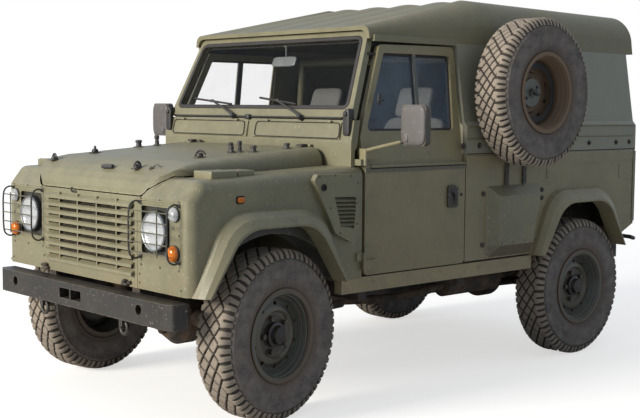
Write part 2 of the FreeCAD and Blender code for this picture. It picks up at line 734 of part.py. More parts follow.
def flare(label, axle_x, side):
    """The eyebrow of a wheel arch: it swells out of the body's side and falls to the arch's lip."""
    centre = f"{axle_x} + arch_shift"
    foot = "panel_bottom_z"

    def outline(grow, kind, y):
        half = [f"{kind}_foot_half + {grow}", f"{kind}_head_half + {grow}"]
        return arch_wire(*half, f"{kind}_top_z + {grow}", f"{kind}_round", centre, foot, f"{side}*({y})")

    rings = []
    for share, fall in FLARE_BULGE:
        rings.append(arch_wire(*[f"({high}) + {fall}*(({low}) - ({high}))" for high, low in FLARE_ENDS],
                               centre, foot,
                               f"{side}*(side_y - skin/2 + {share}*(skin/2 + flare_reach))"))
    outer = Part.makeLoft(rings, True, True)
    hole = Part.makeLoft([outline("0", "lip", "side_y - skin/2 - 1"),
                          outline("0", "lip", "side_y + flare_reach + 1")], True, True)
    return solid_from(label, outer.cut(hole))


def arch_hole(label, axle_x, span):
    """The wheel arch's opening as a cutter across span."""
    low, high = number(span[0]), number(span[1])
    wire = arch_wire("lip_foot_half + 20", "lip_head_half", "lip_top_z", "lip_round",
                     f"{axle_x} + arch_shift",
                     "panel_bottom_z - 30", span[0])
    return solid_from(label, Part.Face(wire).extrude(Vector(0, high - low, 0)))


wing_side = [("wing_rear_x", "panel_bottom_z"), ("wing_rear_x", "wing_top_rear_z"),
             ("nose_x - 70", "wing_top_front_z"), ("nose_x", "panel_top_z"), ("nose_x", "panel_bottom_z")]
shell = profile("wing_shell", SIDE_VIEW, wing_side, ("panel_inner_y", "side_y"), [("45", (2,))])
blank = shell.Tip
side_y, nose_x, foot_z = number("side_y"), number("nose_x"), number("panel_bottom_z")
outer_edges = [f"Edge{i}" for i, edge in enumerate(blank.Shape.Edges, start=1)
               if all(abs(end.Y - side_y) < 0.01 for end in edge.Vertexes)
               and (all(end.Z > foot_z + 1 for end in edge.Vertexes)
                    or all(abs(end.X - nose_x) < 0.01 for end in edge.Vertexes))]
crown = shell.newObject("PartDesign::Fillet", "wing_crown")
crown.Base = (blank, outer_edges)
bind(crown, {"Radius": "wing_edge_round"})
doc.recompute()

well = rod("wing_well", "y", ("front_axle_x", AXLE_Z), ("bay_wall_y + 12", "side_y - skin"), "well_radius")
bay_side = [("wing_rear_x - 1", "panel_bottom_z - 1"), ("wing_rear_x - 1", "wing_top_rear_z + 90"),
            ("nose_x - 95", "wing_top_rear_z + 90"), ("nose_x - 95", "panel_top_z - 90"),
            ("nose_x - 135", "panel_bottom_z - 1")]
bay = profile("wing_bay", SIDE_VIEW, bay_side, ("panel_inner_y - 1", "wing_inner_y"))
inner_well = rod("wing_inner_well", "y", ("front_axle_x", AXLE_Z),
                 ("wing_inner_y - 30", "side_y - skin + 1"), "well_radius")
bonnet_space = profile("bonnet_space", TOP_VIEW, both_sides([("scuttle_front_x", "wing_inner_y"),
                                                             ("nose_x + 1", "wing_inner_y")], TOP_VIEW),
                       ("panel_top_z", "1400"), [("bonnet_corner_round + wing_gap", (1, 2))])
hole = arch_hole("wing_arch", "front_axle_x", ("side_y - skin - 1", "side_y + 1"))
inner_wall = block("wing_inner_wall", ("scuttle_front_x + 40", "nose_x - 110"),
                   ("bay_wall_y", "bay_wall_y + 12"), ("835", "915"))
shelf = block("wing_shelf", ("scuttle_front_x + 40", "nose_x - 110"), ("bay_wall_y", "wing_inner_y + 5"),
              ("903", "915"))
well_cut = rod("wing_wall_well", "y", ("front_axle_x", AXLE_Z), ("bay_wall_y - 1", "wing_inner_y + 6"),
               "well_radius - 6")
pillar_space = block("wing_pillar_space", ("wing_rear_x - 1", "scuttle_front_x + 4"),
                     ("wing_inner_y - 20", "side_y - skin"),
                     ("panel_bottom_z - 1", "wing_top_rear_z + 10"))
pocket = profile("lamp_pocket", FRONT_VIEW, [("headlamp_y - pocket_half", "headlamp_z - pocket_half"),
                                             ("headlamp_y - pocket_half", "headlamp_z + pocket_half"),
                                             ("headlamp_y + pocket_half", "headlamp_z + pocket_half"),
                                             ("headlamp_y + pocket_half", "headlamp_z - pocket_half")],
                 ("nose_x - pocket_depth", "nose_x + 1"), [("14", (0, 1, 2, 3))])
body_left = carve("wing_body", shell, [bay, bonnet_space, inner_well, hole, pillar_space, pocket])
liner = carve("wing_liner", join("wing_liner_plates", [inner_wall, shelf]), [well_cut])
wing_left = join("wing_left", [body_left, liner, flare("wing_flare", "front_axle_x", 1)])
keep("wing_left", wing_left)
keep("wing_right", mirrored("wing_right", wing_left))

# ---- the raised air intake on the left wing: a chamfered box with a louvre

intake_outline = [("744", "840"), ("786", "810"), ("895", "861"), ("1034", "1120"), ("1014", "1148"),
                  ("744", "1140")]
intake = profile("intake_box", SIDE_VIEW, intake_outline, ("side_y", "side_y + 30"),
                 [("12", (0, 1, 2, 3, 4, 5))])
louvre = profile("intake_louvre", SIDE_VIEW, [("772", "880"), ("860", "892"), ("905", "1040"),
                                              ("760", "1030")],
                 ("side_y + 14", "side_y + 31"))
keep("air_intake", carve("air_intake", intake, [louvre]))

# ---- front panel: a deep frame with level slats and upright bars, and the radiator behind it

frame_face = [("-panel_inner_y + 3", "panel_bottom_z"), ("panel_inner_y - 3", "panel_bottom_z"),
              ("panel_inner_y - 3", "panel_top_z"), ("-panel_inner_y + 3", "panel_top_z")]
panel = profile("grille_frame", FRONT_VIEW, frame_face, ("nose_x - 22", "nose_x"))
opening = profile("grille_opening", FRONT_VIEW, both_sides([("panel_inner_y - 36", "panel_bottom_z + 62"),
                                                            ("panel_inner_y - 36", "panel_top_z - 24")]),
                  ("nose_x - 30", "nose_x + 30"), [("10", (0, 1, 2, 3))])
slats = doc.addObject("PartDesign::Body", "grille_slats")
SLAT = (
    # X from the nose, Z from the panel's foot: a hood that leans forward, with a folded front edge
    (-8, 84), (20, 67), (20, 54), (14, 54), (14, 63), (-8, 76),
)
slat_sketch = sketch_on(slats, "slat_outline", SIDE_VIEW,
                        [(f"nose_x + {x}", f"panel_bottom_z + {z}") for x, z in SLAT],
                        "-(panel_inner_y - 26)")
slat = slats.newObject("PartDesign::Pad", "slat_pad")
slat.Profile = slat_sketch
bind(slat, {"Length": "2*(panel_inner_y - 26)"})
slat_row = slats.newObject("PartDesign::LinearPattern", "slat_row")
slat_row.Originals = [slat]
slat_row.Direction = (slat_sketch, ["V_Axis"])
bind(slat_row, {"Length": "panel_top_z - panel_bottom_z - 105"})
slat_row.Occurrences = 9
slats.Tip = slat_row
doc.recompute()
bars = [block(f"grille_bar_{i}", ("nose_x - 10", "nose_x + 12"), (f"{y} - 4", f"{y} + 4"),
              ("panel_bottom_z + 57", "panel_top_z - 19"))
        for i, y in enumerate((-260, -87, 87, 260))]
radiator = block("radiator", ("nose_x - 75", "nose_x - 32"), ("-330", "330"),
                 ("panel_bottom_z + 19", "panel_top_z - 22"))
stays = [block(f"radiator_stay_{i}", ("nose_x - 34", "nose_x - 20"), (f"{y} - 15", f"{y} + 15"),
               ("panel_bottom_z + 9", "panel_bottom_z + 69"))
         for i, y in enumerate((-300, 300))]
front = carve("front_panel_form", panel, [opening])
keep("front_panel", join("front_panel", [front, slats, radiator] + bars + stays))

# ---- lamps: headlamps with the side lamps and indicators beside them, and the rear lamps

LAMPS = (
    # name, Y, Z, radius, back, front
    ("headlamp", "headlamp_y", "headlamp_z", "headlamp_radius", "nose_x - pocket_depth + seat_gap",
     "nose_x + 22"),
    ("side_lamp", "720", "991", "32", "nose_x", "nose_x + 34"),
    ("indicator", "714", "818", "36", "nose_x", "nose_x + 36"),
)
lamps = []
for name, y, z, radius, back, front in LAMPS:
    for side in (1, -1):
        lamps.append(rod(f"{name}_{side}", "x", (f"{side}*{y}", z), (back, front), radius))
for side in (1, -1):
    for i, z in enumerate((985, 1075)):
        lamps.append(rod(f"rear_lamp_{side}_{i}", "x", (f"{side}*752", z),
                         ("tub_rear_x - 34", "tub_rear_x"), "38"))
keep("lamps", join("lamps", lamps))


def guard(label, side):
    """A cage of bars over one side's lamps: a closed loop with level wires and four stays."""
    inner, outer, low, high, out = 440, 752, 790, 1022, "nose_x + 62"
    wires = [block(f"{label}_wire_{i}", (out, f"{out} + 8"), across(inner, outer, side),
                   (f"{low} + {i}*{(high - low) / 5}", f"{low} + {i}*{(high - low) / 5} + 8"))
                   for i in range(6)]
    ends = [block(f"{label}_end_{i}", (out, f"{out} + 8"), across(y, y + 8, side), (low, high + 8))
            for i, y in enumerate((inner, 668, outer - 8))]
    stays = [block(f"{label}_stay_{i}", ("nose_x", f"{out} + 8"), across(y, y + 8, side), (z, f"{z} + 8"))
             for i, (y, z) in enumerate(((inner, low), (inner, high), (outer - 8, low), (outer - 8, high)))]
    return wires + ends + stays


keep("lamp_guards", join("lamp_guards", guard("guard_left", 1) + guard("guard_right", -1)))

# ---- bonnet: a crowned panel whose edges turn down, rounded off at the two front corners

BONNET_STATIONS = 7


def bonnet_form(label, shrink):
    """The bonnet's outer form, or with shrink the space under it, from cross sections."""
    rear, middle, nose = number("bonnet_rear_x"), number("bonnet_mid_x"), number("nose_x - 5")
    half = number("wing_inner_y - wing_gap") - shrink
    foot = number("bonnet_side_z") - (40 if shrink else 0)
    shoulder = number("bonnet_shoulder")
    lip = number("bonnet_lip_z") - shrink
    mid_top, rear_top = number("bonnet_mid_z") - shrink, number("bonnet_rear_z") - shrink
    drop = mid_top - lip
    stations = [(rear - (1 if shrink else 0), rear_top), (middle, mid_top)]
    for i in range(1, BONNET_STATIONS):
        turn = math.pi / 2 * i / (BONNET_STATIONS - 1)
        stations.append((middle + (nose - shrink - middle) * math.sin(turn),
                         mid_top - drop * (1 - math.cos(turn))))
    wires = []
    for x, top in stations:
        low = min(foot, top - 24)
        soft = min(shoulder, (top - low) * 0.8)
        slant = soft * (1 - math.sqrt(0.5))
        right = [Vector(x, half, low), Vector(x, half, top - soft), Vector(x, half - slant, top - slant),
                 Vector(x, half - soft, top)]
        left = [Vector(place.x, -place.y, place.z) for place in reversed(right)]
        edges = [Part.LineSegment(right[0], right[1]), Part.Arc(*right[1:]),
                 Part.LineSegment(right[3], left[0]),
                 Part.Arc(*left[:3]), Part.LineSegment(left[2], left[3]), Part.LineSegment(left[3], right[0])]
        wires.append(Part.Wire([edge.toShape() for edge in edges]))
    return Part.makeLoft(wires, True, True)


bonnet_rear_plan, bonnet_half = "bonnet_rear_x - 2", "wing_inner_y - wing_gap"
plan_form = profile("bonnet_plan", TOP_VIEW,
                    both_sides([(bonnet_rear_plan, f"{bonnet_half} + 1"),
                                ("nose_x - 5", f"{bonnet_half} + 1")], TOP_VIEW),
                    ("1000", "1400"), [("bonnet_corner_round", (1, 2))])
bonnet_skin = solid_from("bonnet_skin", bonnet_form("outer",
                                                    0).cut(bonnet_form("inner", number("bonnet_skin"))))
bonnet_parts = [overlap("bonnet_panel", bonnet_skin, plan_form)]
for side in (1, -1):
    low, high = across("bonnet_hinge_y - bonnet_hinge_half", "bonnet_hinge_y + bonnet_hinge_half", side)
    bonnet_parts += [rod(f"bonnet_barrel_{side}", "y", ("bonnet_hinge_x", "bonnet_hinge_z"), (low, high),
                         "bonnet_barrel_radius"),
                     block(f"bonnet_leaf_{side}", ("bonnet_hinge_x", "bonnet_rear_x + 40"), (low, high),
                           ("bonnet_rear_z - 8", "bonnet_hinge_z - 1"))]
keep("bonnet", join("bonnet", bonnet_parts))

# ---- bulkhead: a wall between the engine and the cab, its boxed top, the vents and the dash

bulkhead_side = [("scuttle_front_x", FLOOR_UNDER_Z), ("scuttle_front_x", "1290"),
                 ("scuttle_front_x - 20", "scuttle_top_z"),
                 ("screen_foot_x - screen_thick*cos(screen_lean*1deg) - 3", "scuttle_top_z"),
                 ("scuttle_front_x - 40", "1270"),
                 ("scuttle_front_x - bulkhead_wall", "1250"),
                 ("scuttle_front_x - bulkhead_wall", FLOOR_UNDER_Z)]
SILL_TOP_Z = "sill_top_z - 12"
sill_notches = [block(f"sill_notch_{side}", ("600", "800"), across("side_y - 60 - seat_gap", "side_y", side),
                      (f"{FLOOR_UNDER_Z} - 1", f"{SILL_TOP_Z} + seat_gap")) for side in (1, -1)]
bulkhead_parts = [carve("bulkhead_wall_form", profile("bulkhead_blank", SIDE_VIEW, bulkhead_side,
                                                      ("-(side_y - skin - 4)", "side_y - skin - 4")),
                        sill_notches)]
vent_side = [("scuttle_front_x - 2", "1302"), ("scuttle_front_x + 6", "1306"),
             ("scuttle_front_x - 10", "1388"),
             ("scuttle_front_x - 20", "1388")]
for side in (1, -1):
    bulkhead_parts.append(profile(f"vent_flap_{side}", SIDE_VIEW, vent_side, across("27", "705", side)))
dash_side = [("scuttle_front_x - bulkhead_wall + 1", "1080"), ("600", "1100"), ("585", "1250"),
             ("640", "1315"),
             ("scuttle_front_x - 44", "1320")]
bulkhead_parts.append(profile("dash", SIDE_VIEW, dash_side, ("-700", "700"), [("20", (2,))]))
bulkhead_parts.append(profile("dash_pod", SIDE_VIEW,
                              [("620", "1180"), ("560", "1200"), ("575", "1335"), ("650", "1345")],
                              ("seat_y - 170", "seat_y + 150"), [("14", (1, 2))]))
COLUMN = ("430", "seat_y", "1225")
column_dir = Vector(math.cos(math.radians(number("column_lean"))), 0,
                    -math.sin(math.radians(number("column_lean"))))
column_head = point(*COLUMN) + column_dir * (20 + number("running_gap"))
bulkhead_parts.append(solid_from("steering_column", Part.makeCylinder(24, 280, column_head, column_dir)))
for side in (1, -1):
    # the fixed halves of the doors' upper hinges stand on the bulkhead's pillars
    bulkhead_parts += [block(f"upper_hinge_plate_{side}", ("door_hinge_x - 4", "door_hinge_x + 26"),
                             across("side_y - skin - 8", "door_hinge_y - 6", side), ("1180", "1210")),
                       rod(f"upper_hinge_barrel_{side}", "z", ("door_hinge_x", f"{side}*door_hinge_y"),
                           ("1180", "1210"), "10")]
    # the bonnet's hinges: two fixed knuckles each, one on either side of the bonnet's own
    knuckle_spans = {
        "inner": ("bonnet_hinge_y - 2.6*bonnet_hinge_half", "bonnet_hinge_y - bonnet_hinge_half - seat_gap"),
        "outer": ("bonnet_hinge_y + bonnet_hinge_half + seat_gap", "bonnet_hinge_y + 2.6*bonnet_hinge_half"),
    }
    for name, span in knuckle_spans.items():
        low, high = across(*span, side)
        bulkhead_parts += [rod(f"{name}_knuckle_{side}", "y", ("bonnet_hinge_x", "bonnet_hinge_z"),
                               (low, high), "bonnet_barrel_radius"),
                           block(f"{name}_bracket_{side}", ("scuttle_front_x - 3", "bonnet_hinge_x"),
                                 (low, high),
                                 ("bonnet_hinge_z - bonnet_barrel_radius + 1",
                                  "bonnet_hinge_z + bonnet_barrel_radius - 1"))]
keep("bulkhead", join("bulkhead", bulkhead_parts))

# ---- steering wheel: a ring, a boss and three spokes about the column's axis

RING_TILT = "90 - column_lean"
ring = doc.addObject("Part::Torus", "ring")
bind(ring, {"Radius1": "wheel_ring_radius", "Radius2": "wheel_ring_grip"})
boss = rod("wheel_boss", "z", ("0", "0"), ("-20", "16"), "42")
spokes = []
for i, turn in enumerate((0, 130, 230)):
    spoke = doc.addObject("Part::Box", f"wheel_spoke_{i}")
    bind(spoke, {"Length": "wheel_ring_radius", "Width": "28", "Height": "8"})
    about = Rotation(Vector(0, 0, 1), turn)
    spoke.Placement = Placement(Vector(), about).multiply(Placement(Vector(0, -14, -6), Rotation()))
    spokes.append(spoke)
steering_wheel = join("steering_wheel", [ring, boss] + spokes)
keep("steering_wheel", lean(steering_wheel, Vector(0, 1, 0), f"-({RING_TILT})", COLUMN))

# ---- windscreen: a leaning frame with one pane

SCREEN_BASE = ("screen_foot_x", "0", "scuttle_top_z + screen_thick*sin(screen_lean*1deg) + seat_gap")


def screen_outline(foot_inset, side_inset, head_inset):
    """The screen's outline in its own plane, drawn in from its edges."""
    slope = "(screen_foot_half - screen_head_half)/screen_height"
    low = f"screen_foot_half - ({side_inset}) - {slope}*({foot_inset})"
    high = f"screen_head_half - ({side_inset}) + {slope}*({head_inset})"
    foot, head = foot_inset, f"screen_height - ({head_inset})"
    return both_sides([(low, foot), (high, head)])


screen_blank = profile("screen_blank", FRONT_VIEW, screen_outline("0", "0", "0"), ("-screen_thick", "0"),
                       [("25", (1, 2))])
screen_hole = profile("screen_hole", FRONT_VIEW, screen_outline("screen_border", "screen_border - 8",
                                                                "screen_border - 14"),
                      ("-screen_thick - 1", "1"), [("30", (0, 1, 2, 3))])
keep("windscreen_frame", lean(carve("windscreen_frame", screen_blank, [screen_hole]), Vector(0, 1, 0),
                              "-screen_lean", SCREEN_BASE))
pane = profile("windscreen_glass", FRONT_VIEW,
               screen_outline("screen_border + seat_gap", "screen_border - 8 + seat_gap",
                              "screen_border - 14 + seat_gap"),
               ("-screen_thick/2 - glass_thick/2", "-screen_thick/2 + glass_thick/2"), [("30", (0, 1, 2, 3))])
keep("windscreen_glass", lean(pane, Vector(0, 1, 0), "-screen_lean", SCREEN_BASE))

# ---- doors: a pressed lower half, a leaning window frame, hinge straps, a handle and the mirror

FRAME_BASE = ("0", "side_y - frame_foot_inset", "waist_z - 12")
DOOR_FOOT_Z = "sill_top_z - 4"
frame_outline = [("door_front_x", "0"), ("door_front_x", "170"), ("frame_top_front_x", "frame_height - 8"),
                 ("door_rear_x", "frame_height"), ("door_rear_x", "0")]


def window_outline(grow):
    """The window's outline in the frame's plane, smaller by grow."""
    return [(f"door_front_x - 44 - {grow}", f"window_foot_z + 10 + {grow}"),
            (f"frame_top_front_x - 24 - {grow}", f"window_head_z + 16 - {grow}"),
            (f"door_rear_x + 38 + {grow}", f"window_head_z + 16 - {grow}"),
            (f"door_rear_x + 54 + {grow}", f"window_foot_z + 10 + {grow}")]


lower = profile("door_lower", SIDE_VIEW, [("door_front_x", DOOR_FOOT_Z), ("door_rear_x", DOOR_FOOT_Z),
                                          ("door_rear_x", "waist_z"), ("door_front_x", "waist_z")],
                ("side_y - door_thick", "side_y"), [("18", (0, 1))])
frame_form = carve("door_frame_form", profile("door_frame_blank", SIDE_VIEW, frame_outline,
                                              ("-door_frame_thick", "0"),
                                              [("28", (2, 3))]),
                   [profile("door_window", SIDE_VIEW, window_outline("0"), ("-door_frame_thick - 1", "1"),
                            [("22", (0, 1, 2, 3))])])
divider = block("door_divider", ("228", "248"), ("-12", "-2"), ("window_foot_z", "window_head_z + 20"))
upper = lean(join("door_upper", [frame_form, divider]), Vector(1, 0, 0), "frame_lean", FRAME_BASE)
waist = block("door_waist", ("door_rear_x", "door_front_x"), ("side_y - door_thick", "side_y + 3"),
              ("waist_z - 22", "waist_z + 14"))
handle = profile("door_handle", SIDE_VIEW, [("-8", "940"), ("70", "940"), ("70", "1056"), ("-8", "1056")],
                 ("side_y - 2", "side_y + 13"), [("14", (0, 1, 2, 3))])
door_parts = [lower, upper, waist, handle]
for name, low, high, inner in (("lower", "664", "712", "side_y - 2"),
                               ("upper", "1210.5", "1262", "side_y - 26")):
    door_parts += [block(f"{name}_strap", ("door_hinge_x - 88", "door_hinge_x"),
                         (inner, "door_hinge_y - 4"), (low, high)),
                   rod(f"{name}_barrel", "z", ("door_hinge_x", "door_hinge_y"), (low, high), "10")]
mirror_head = profile("mirror_head", FRONT_VIEW, [("978", "1282"), ("1135", "1282"), ("1135", "1478"),
                                                  ("978", "1478")],
                      ("548", "584"), [("22", (0, 1, 2, 3))])
mirror_arm = bar_between("mirror_arm", ("door_hinge_x", "door_hinge_y", "1254"), ("566", "1020", "1310"), "9")
door_left = join("door_left", door_parts + [mirror_head, mirror_arm])
keep("door_left", door_left)
keep("door_right", mirrored("door_right", door_left))
door_pane = profile("door_glass_left", SIDE_VIEW, window_outline("seat_gap"), ("-26", "-26 + glass_thick"),
                    [("22", (0, 1, 2, 3))])
keep("door_glass_left", lean(door_pane, Vector(1, 0, 0), "frame_lean", FRAME_BASE))
keep("door_glass_right", mirrored("door_glass_right", door_pane))
lower_hinges = []
for name, side in (("left", 1), ("right", -1)):
    wing = nodes[f"wing_{name}"]
    halves = [block(f"hinge_plate_{name}", ("door_hinge_x + 4", "door_hinge_x + 44"),
                    across("side_y - 2", "door_hinge_y - 6", side),
                    ("712.5", "752")),
              rod(f"hinge_barrel_{name}", "z", ("door_hinge_x", f"{side}*door_hinge_y"), ("712.5", "752"),
                  "10")]
    wing.Label = f"wing_{name}_form"
    keep(f"wing_{name}", join(f"wing_{name}_whole", [wing] + halves))

# ---- floor: the cab's floor, the seat box, the load floor above the frame, and the sills

wide, narrow = "side_y - skin - 2", "wheel_box_y - 1"
box_front, box_rear = f"{REAR_AXLE_X} + 482", f"{REAR_AXLE_X} - 482"
load_plan = both_sides([("tub_front_x", wide), (box_front, wide), (box_front, narrow), (box_rear, narrow),
                        (box_rear, wide),
                        ("tub_rear_x + skin + 1", wide)], TOP_VIEW)
floor_parts = [profile("load_floor", TOP_VIEW, load_plan, ("load_floor_z - floor_thick", "load_floor_z")),
               block("cab_floor", ("tub_front_x - 2", "scuttle_front_x - bulkhead_wall - seat_gap"),
                     ("-(side_y - skin - 4)", "side_y - skin - 4"),
                     (FLOOR_UNDER_Z, "floor_z")),
               block("seat_box", ("tub_front_x + 10", "seat_front_x"), ("-740", "740"),
                     ("floor_z - 1", "835")),
               block("floor_step", ("tub_front_x - 2", "tub_front_x + 12"), ("-740", "740"),
                     ("floor_z - 1", "load_floor_z"))]
for side in (1, -1):
    floor_parts.append(block(f"sill_{side}", ("-673", "818"), across("side_y - 60", "side_y - 8", side),
                             (f"{SILL_TOP_Z} - sill_height", SILL_TOP_Z)))
keep("floor_pan", join("floor_pan", floor_parts))

# ---- tub: two sides with a wheel box and a flare each, and the rear wall round the door

TUB_FOOT_Z = "sill_top_z"
tub_outline = [("tub_front_x", TUB_FOOT_Z), ("tub_front_x", "tub_top_z"), ("tub_rear_x + skin", "tub_top_z"),
               ("tub_rear_x + skin", "tub_tail_z - 10"), (f"{REAR_AXLE_X} - 380", "tub_tail_z - 70"),
               (f"{REAR_AXLE_X} - 380", TUB_FOOT_Z)]
tub_skin = profile("tub_skin", SIDE_VIEW, tub_outline, ("side_y - skin", "side_y"))
capping = profile("tub_capping", FRONT_VIEW, [("side_y - 50", "tub_top_z"), ("side_y - 50", "tub_top_z - 20"),
                                              ("side_y - skin", "tub_top_z - 60"),
                                              ("side_y + 4", "tub_top_z - 64"),
                                              ("side_y + 4", "tub_top_z")],
                  ("tub_rear_x + skin", "tub_front_x"), [("12", (4,))])
box_x = (f"{REAR_AXLE_X} - 480", f"{REAR_AXLE_X} + 480")
wheel_box = carve("wheel_box", block("wheel_box_form", box_x, ("wheel_box_y", "side_y - skin + 1"),
                                     ("load_floor_z - floor_thick", "wheel_box_top_z")),
                  [block("wheel_box_space", (f"{box_x[0]} + 14", f"{box_x[1]} - 14"),
                         ("wheel_box_y + 14", "side_y - skin + 2"),
                         ("load_floor_z - floor_thick - 1", "wheel_box_top_z - 14"))])
rear_hole = arch_hole("tub_arch", REAR_AXLE_X, ("side_y - skin - 1", "side_y + 1"))
tub_left = join("tub_left", [carve("tub_side", tub_skin, [rear_hole]), capping, wheel_box,
                             flare("tub_flare", REAR_AXLE_X, 1)])
keep("tub_left", tub_left)
keep("tub_right", mirrored("tub_right", tub_left))
rear_face = both_sides([("rear_door_half", "rear_door_foot_z"), ("rear_door_half", "tub_top_z"),
                        ("side_y - 2", "tub_top_z"),
                        ("side_y - 2", "tub_tail_z"), ("member_half_width", "650 + seat_gap")])
keep("tub_rear", profile("tub_rear", FRONT_VIEW, rear_face, ("tub_rear_x", "tub_rear_x + skin - seat_gap")))

# ---- hardtop: two leaning sides, a rear wall round the door and a roof that rises from the screen

TOP_FOOT_Z = "tub_top_z + seat_gap"


def top_side(inset):
    """The side's outline from foot to head, moved inward by inset."""
    return [(f"side_y + 2 - {inset}", TOP_FOOT_Z), (f"side_y + 2 - {inset}", "top_ledge_z"),
            (f"side_y - 20 - {inset}", "top_ledge_z + 26"), (f"top_side_head_y - {inset}", "top_side_head_z")]


side_form = profile("hardtop_left", FRONT_VIEW, top_side("0") + list(reversed(top_side("skin"))),
                    ("tub_rear_x + skin", "tub_front_x"))
keep("hardtop_left", side_form)
keep("hardtop_right", mirrored("hardtop_right", side_form))
rear_wall = both_sides([("rear_door_half", "rear_door_head_z"),
                        ("rear_door_half", TOP_FOOT_Z)] + top_side("2"))
keep("hardtop_rear", profile("hardtop_rear", FRONT_VIEW, rear_wall,
                             ("tub_rear_x", "tub_rear_x + skin - seat_gap")))


ROOF_GROOVES = 5


def roof_form(shrink, front_end, rear_end):
    """The roof's outer form, or with shrink the space under it, lofted through cross sections.

    The outer form has grooves along the car in the level part of each section, with low arcs
    between them as ribs.
    """
    foot = number("top_side_head_z + seat_gap") - (1 if shrink else 0)
    half = number("top_side_head_y") - shrink
    depth, lead = number("roof_groove_depth"), number("roof_groove_lead")
    spacing = number("roof_groove_spacing")
    front, front_z = number("roof_front_x"), number("roof_front_z")
    peak, peak_z = number("roof_peak_x"), number("roof_peak_z")
    lead_z = front_z + (peak_z - front_z) * lead / (front - peak)
    sections = (
        # X, top height, narrowing of the foot, depth of the shoulder, depth of the grooves
        (front + front_end, front_z, 10, 38, depth * 0.15),
        (front - lead, lead_z, 9, 54, depth),
        (peak, peak_z, 0, 150, depth),
        (number("roof_rear_x") + rear_end, number("roof_rear_z"), 0, 150, depth),
    )
    wires = []
    for x, top, narrow, drop, sink in sections:
        top -= shrink + sink if shrink else 0
        wide = half - narrow
        head = wide - (top - drop - foot) * 0.12
        right = [Vector(x, wide, foot), Vector(x, head, top - drop),
                 Vector(x, head - drop * 0.4, top - drop * 0.3), Vector(x, head - drop * 1.25, top)]
        left = [Vector(place.x, -place.y, place.z) for place in reversed(right)]
        edges = [Part.LineSegment(right[0], right[1]), Part.Arc(*right[1:])]
        place = right[3]
        if not shrink:
            for i in reversed(range(ROOF_GROOVES)):
                middle = (i - (ROOF_GROOVES - 1) / 2) * spacing
                floor = [Vector(x, middle + way * number("roof_groove_width") / 2, top - sink)
                         for way in (1, -1)]
                if i == ROOF_GROOVES - 1:
                    edges.append(Part.LineSegment(place, floor[0]))
                else:
                    edges.append(Part.Arc(place, Vector(x, middle + spacing / 2, top), floor[0]))
                edges.append(Part.LineSegment(*floor))
                place = floor[1]
        edges += [Part.LineSegment(place, left[0]), Part.Arc(*left[:3]), Part.LineSegment(left[2], left[3]),
                  Part.LineSegment(left[3], right[0])]
        wires.append(Part.Wire([edge.toShape() for edge in edges]))
    return Part.makeLoft(wires, True, True)


top_wall = number("top_wall")
keep("hardtop_roof", solid_from("hardtop_roof", roof_form(0, 0, 0).cut(roof_form(top_wall, 1, top_wall))))

# ---- rear door: hinged on its right edge, with a window

rear_outline = both_sides([("rear_door_half - door_gap", "rear_door_foot_z + door_gap"),
                           ("rear_door_half - door_gap", "rear_door_head_z - door_gap")])
REAR_FACE_X = "tub_rear_x - 8"
rear_window = both_sides([("290", "1330"), ("290", "1670")])
rear_panel = carve("rear_panel", profile("rear_panel_blank", FRONT_VIEW, rear_outline,
                                         (REAR_FACE_X, f"{REAR_FACE_X} + 36"), [("30", (0, 1, 2, 3))]),
                   [profile("rear_window", FRONT_VIEW, rear_window,
                            (f"{REAR_FACE_X} - 1", f"{REAR_FACE_X} + 37"), [("35", (0, 1, 2, 3))])])
REAR_HINGE_X, REAR_HINGE_Y = "tub_rear_x - 20", "-(rear_door_half + 6)"
rear_parts, fixed_halves = [rear_panel], {"tub_rear": [], "hardtop_rear": []}
for name, low, carrier in (("foot", "rear_door_foot_z + 60", "tub_rear"),
                           ("middle", "tub_top_z - 95", "tub_rear"),
                           ("head", "rear_door_head_z - 80", "hardtop_rear")):
    rear_parts += [rod(f"rear_barrel_{name}", "z", (REAR_HINGE_X, REAR_HINGE_Y), (low, f"{low} + 40"), "10"),
                   block(f"rear_strap_{name}", (f"{REAR_HINGE_X} - 8", f"{REAR_FACE_X} + 1"),
                         (REAR_HINGE_Y, f"{REAR_HINGE_Y} + 110"), (low, f"{low} + 40"))]
    fixed_halves[carrier] += [rod(f"rear_knuckle_{name}", "z", (REAR_HINGE_X, REAR_HINGE_Y),
                                  (f"{low} + 40 + running_gap", f"{low} + 75"), "10"),
                              block(f"rear_plate_{name}", (f"{REAR_HINGE_X} - 4", "tub_rear_x + 1"),
                                    (f"{REAR_HINGE_Y} - 50", f"{REAR_HINGE_Y} - 3"),
                                    (f"{low} + 40 + running_gap", f"{low} + 75"))]
rear_handle = block("rear_handle", (f"{REAR_FACE_X} - 30", f"{REAR_FACE_X} + 1"), ("330", "420"),
                    ("1180", "1225"))
keep("rear_door", join("rear_door", rear_parts + [rear_handle]))
rear_pane = both_sides([("290 - seat_gap", "1330 + seat_gap"), ("290 - seat_gap", "1670 - seat_gap")])
keep("rear_door_glass", profile("rear_door_glass", FRONT_VIEW, rear_pane,
                                (f"{REAR_FACE_X} + 14", f"{REAR_FACE_X} + 14 + glass_thick"),
                                [("35", (0, 1, 2, 3))]))
for carrier, halves in fixed_halves.items():
    wall = nodes[carrier]
    wall.Label = f"{carrier}_form"
    keep(carrier, join(f"{carrier}_whole", [wall] + halves))

# ---- cab fittings: seats and the roll bar

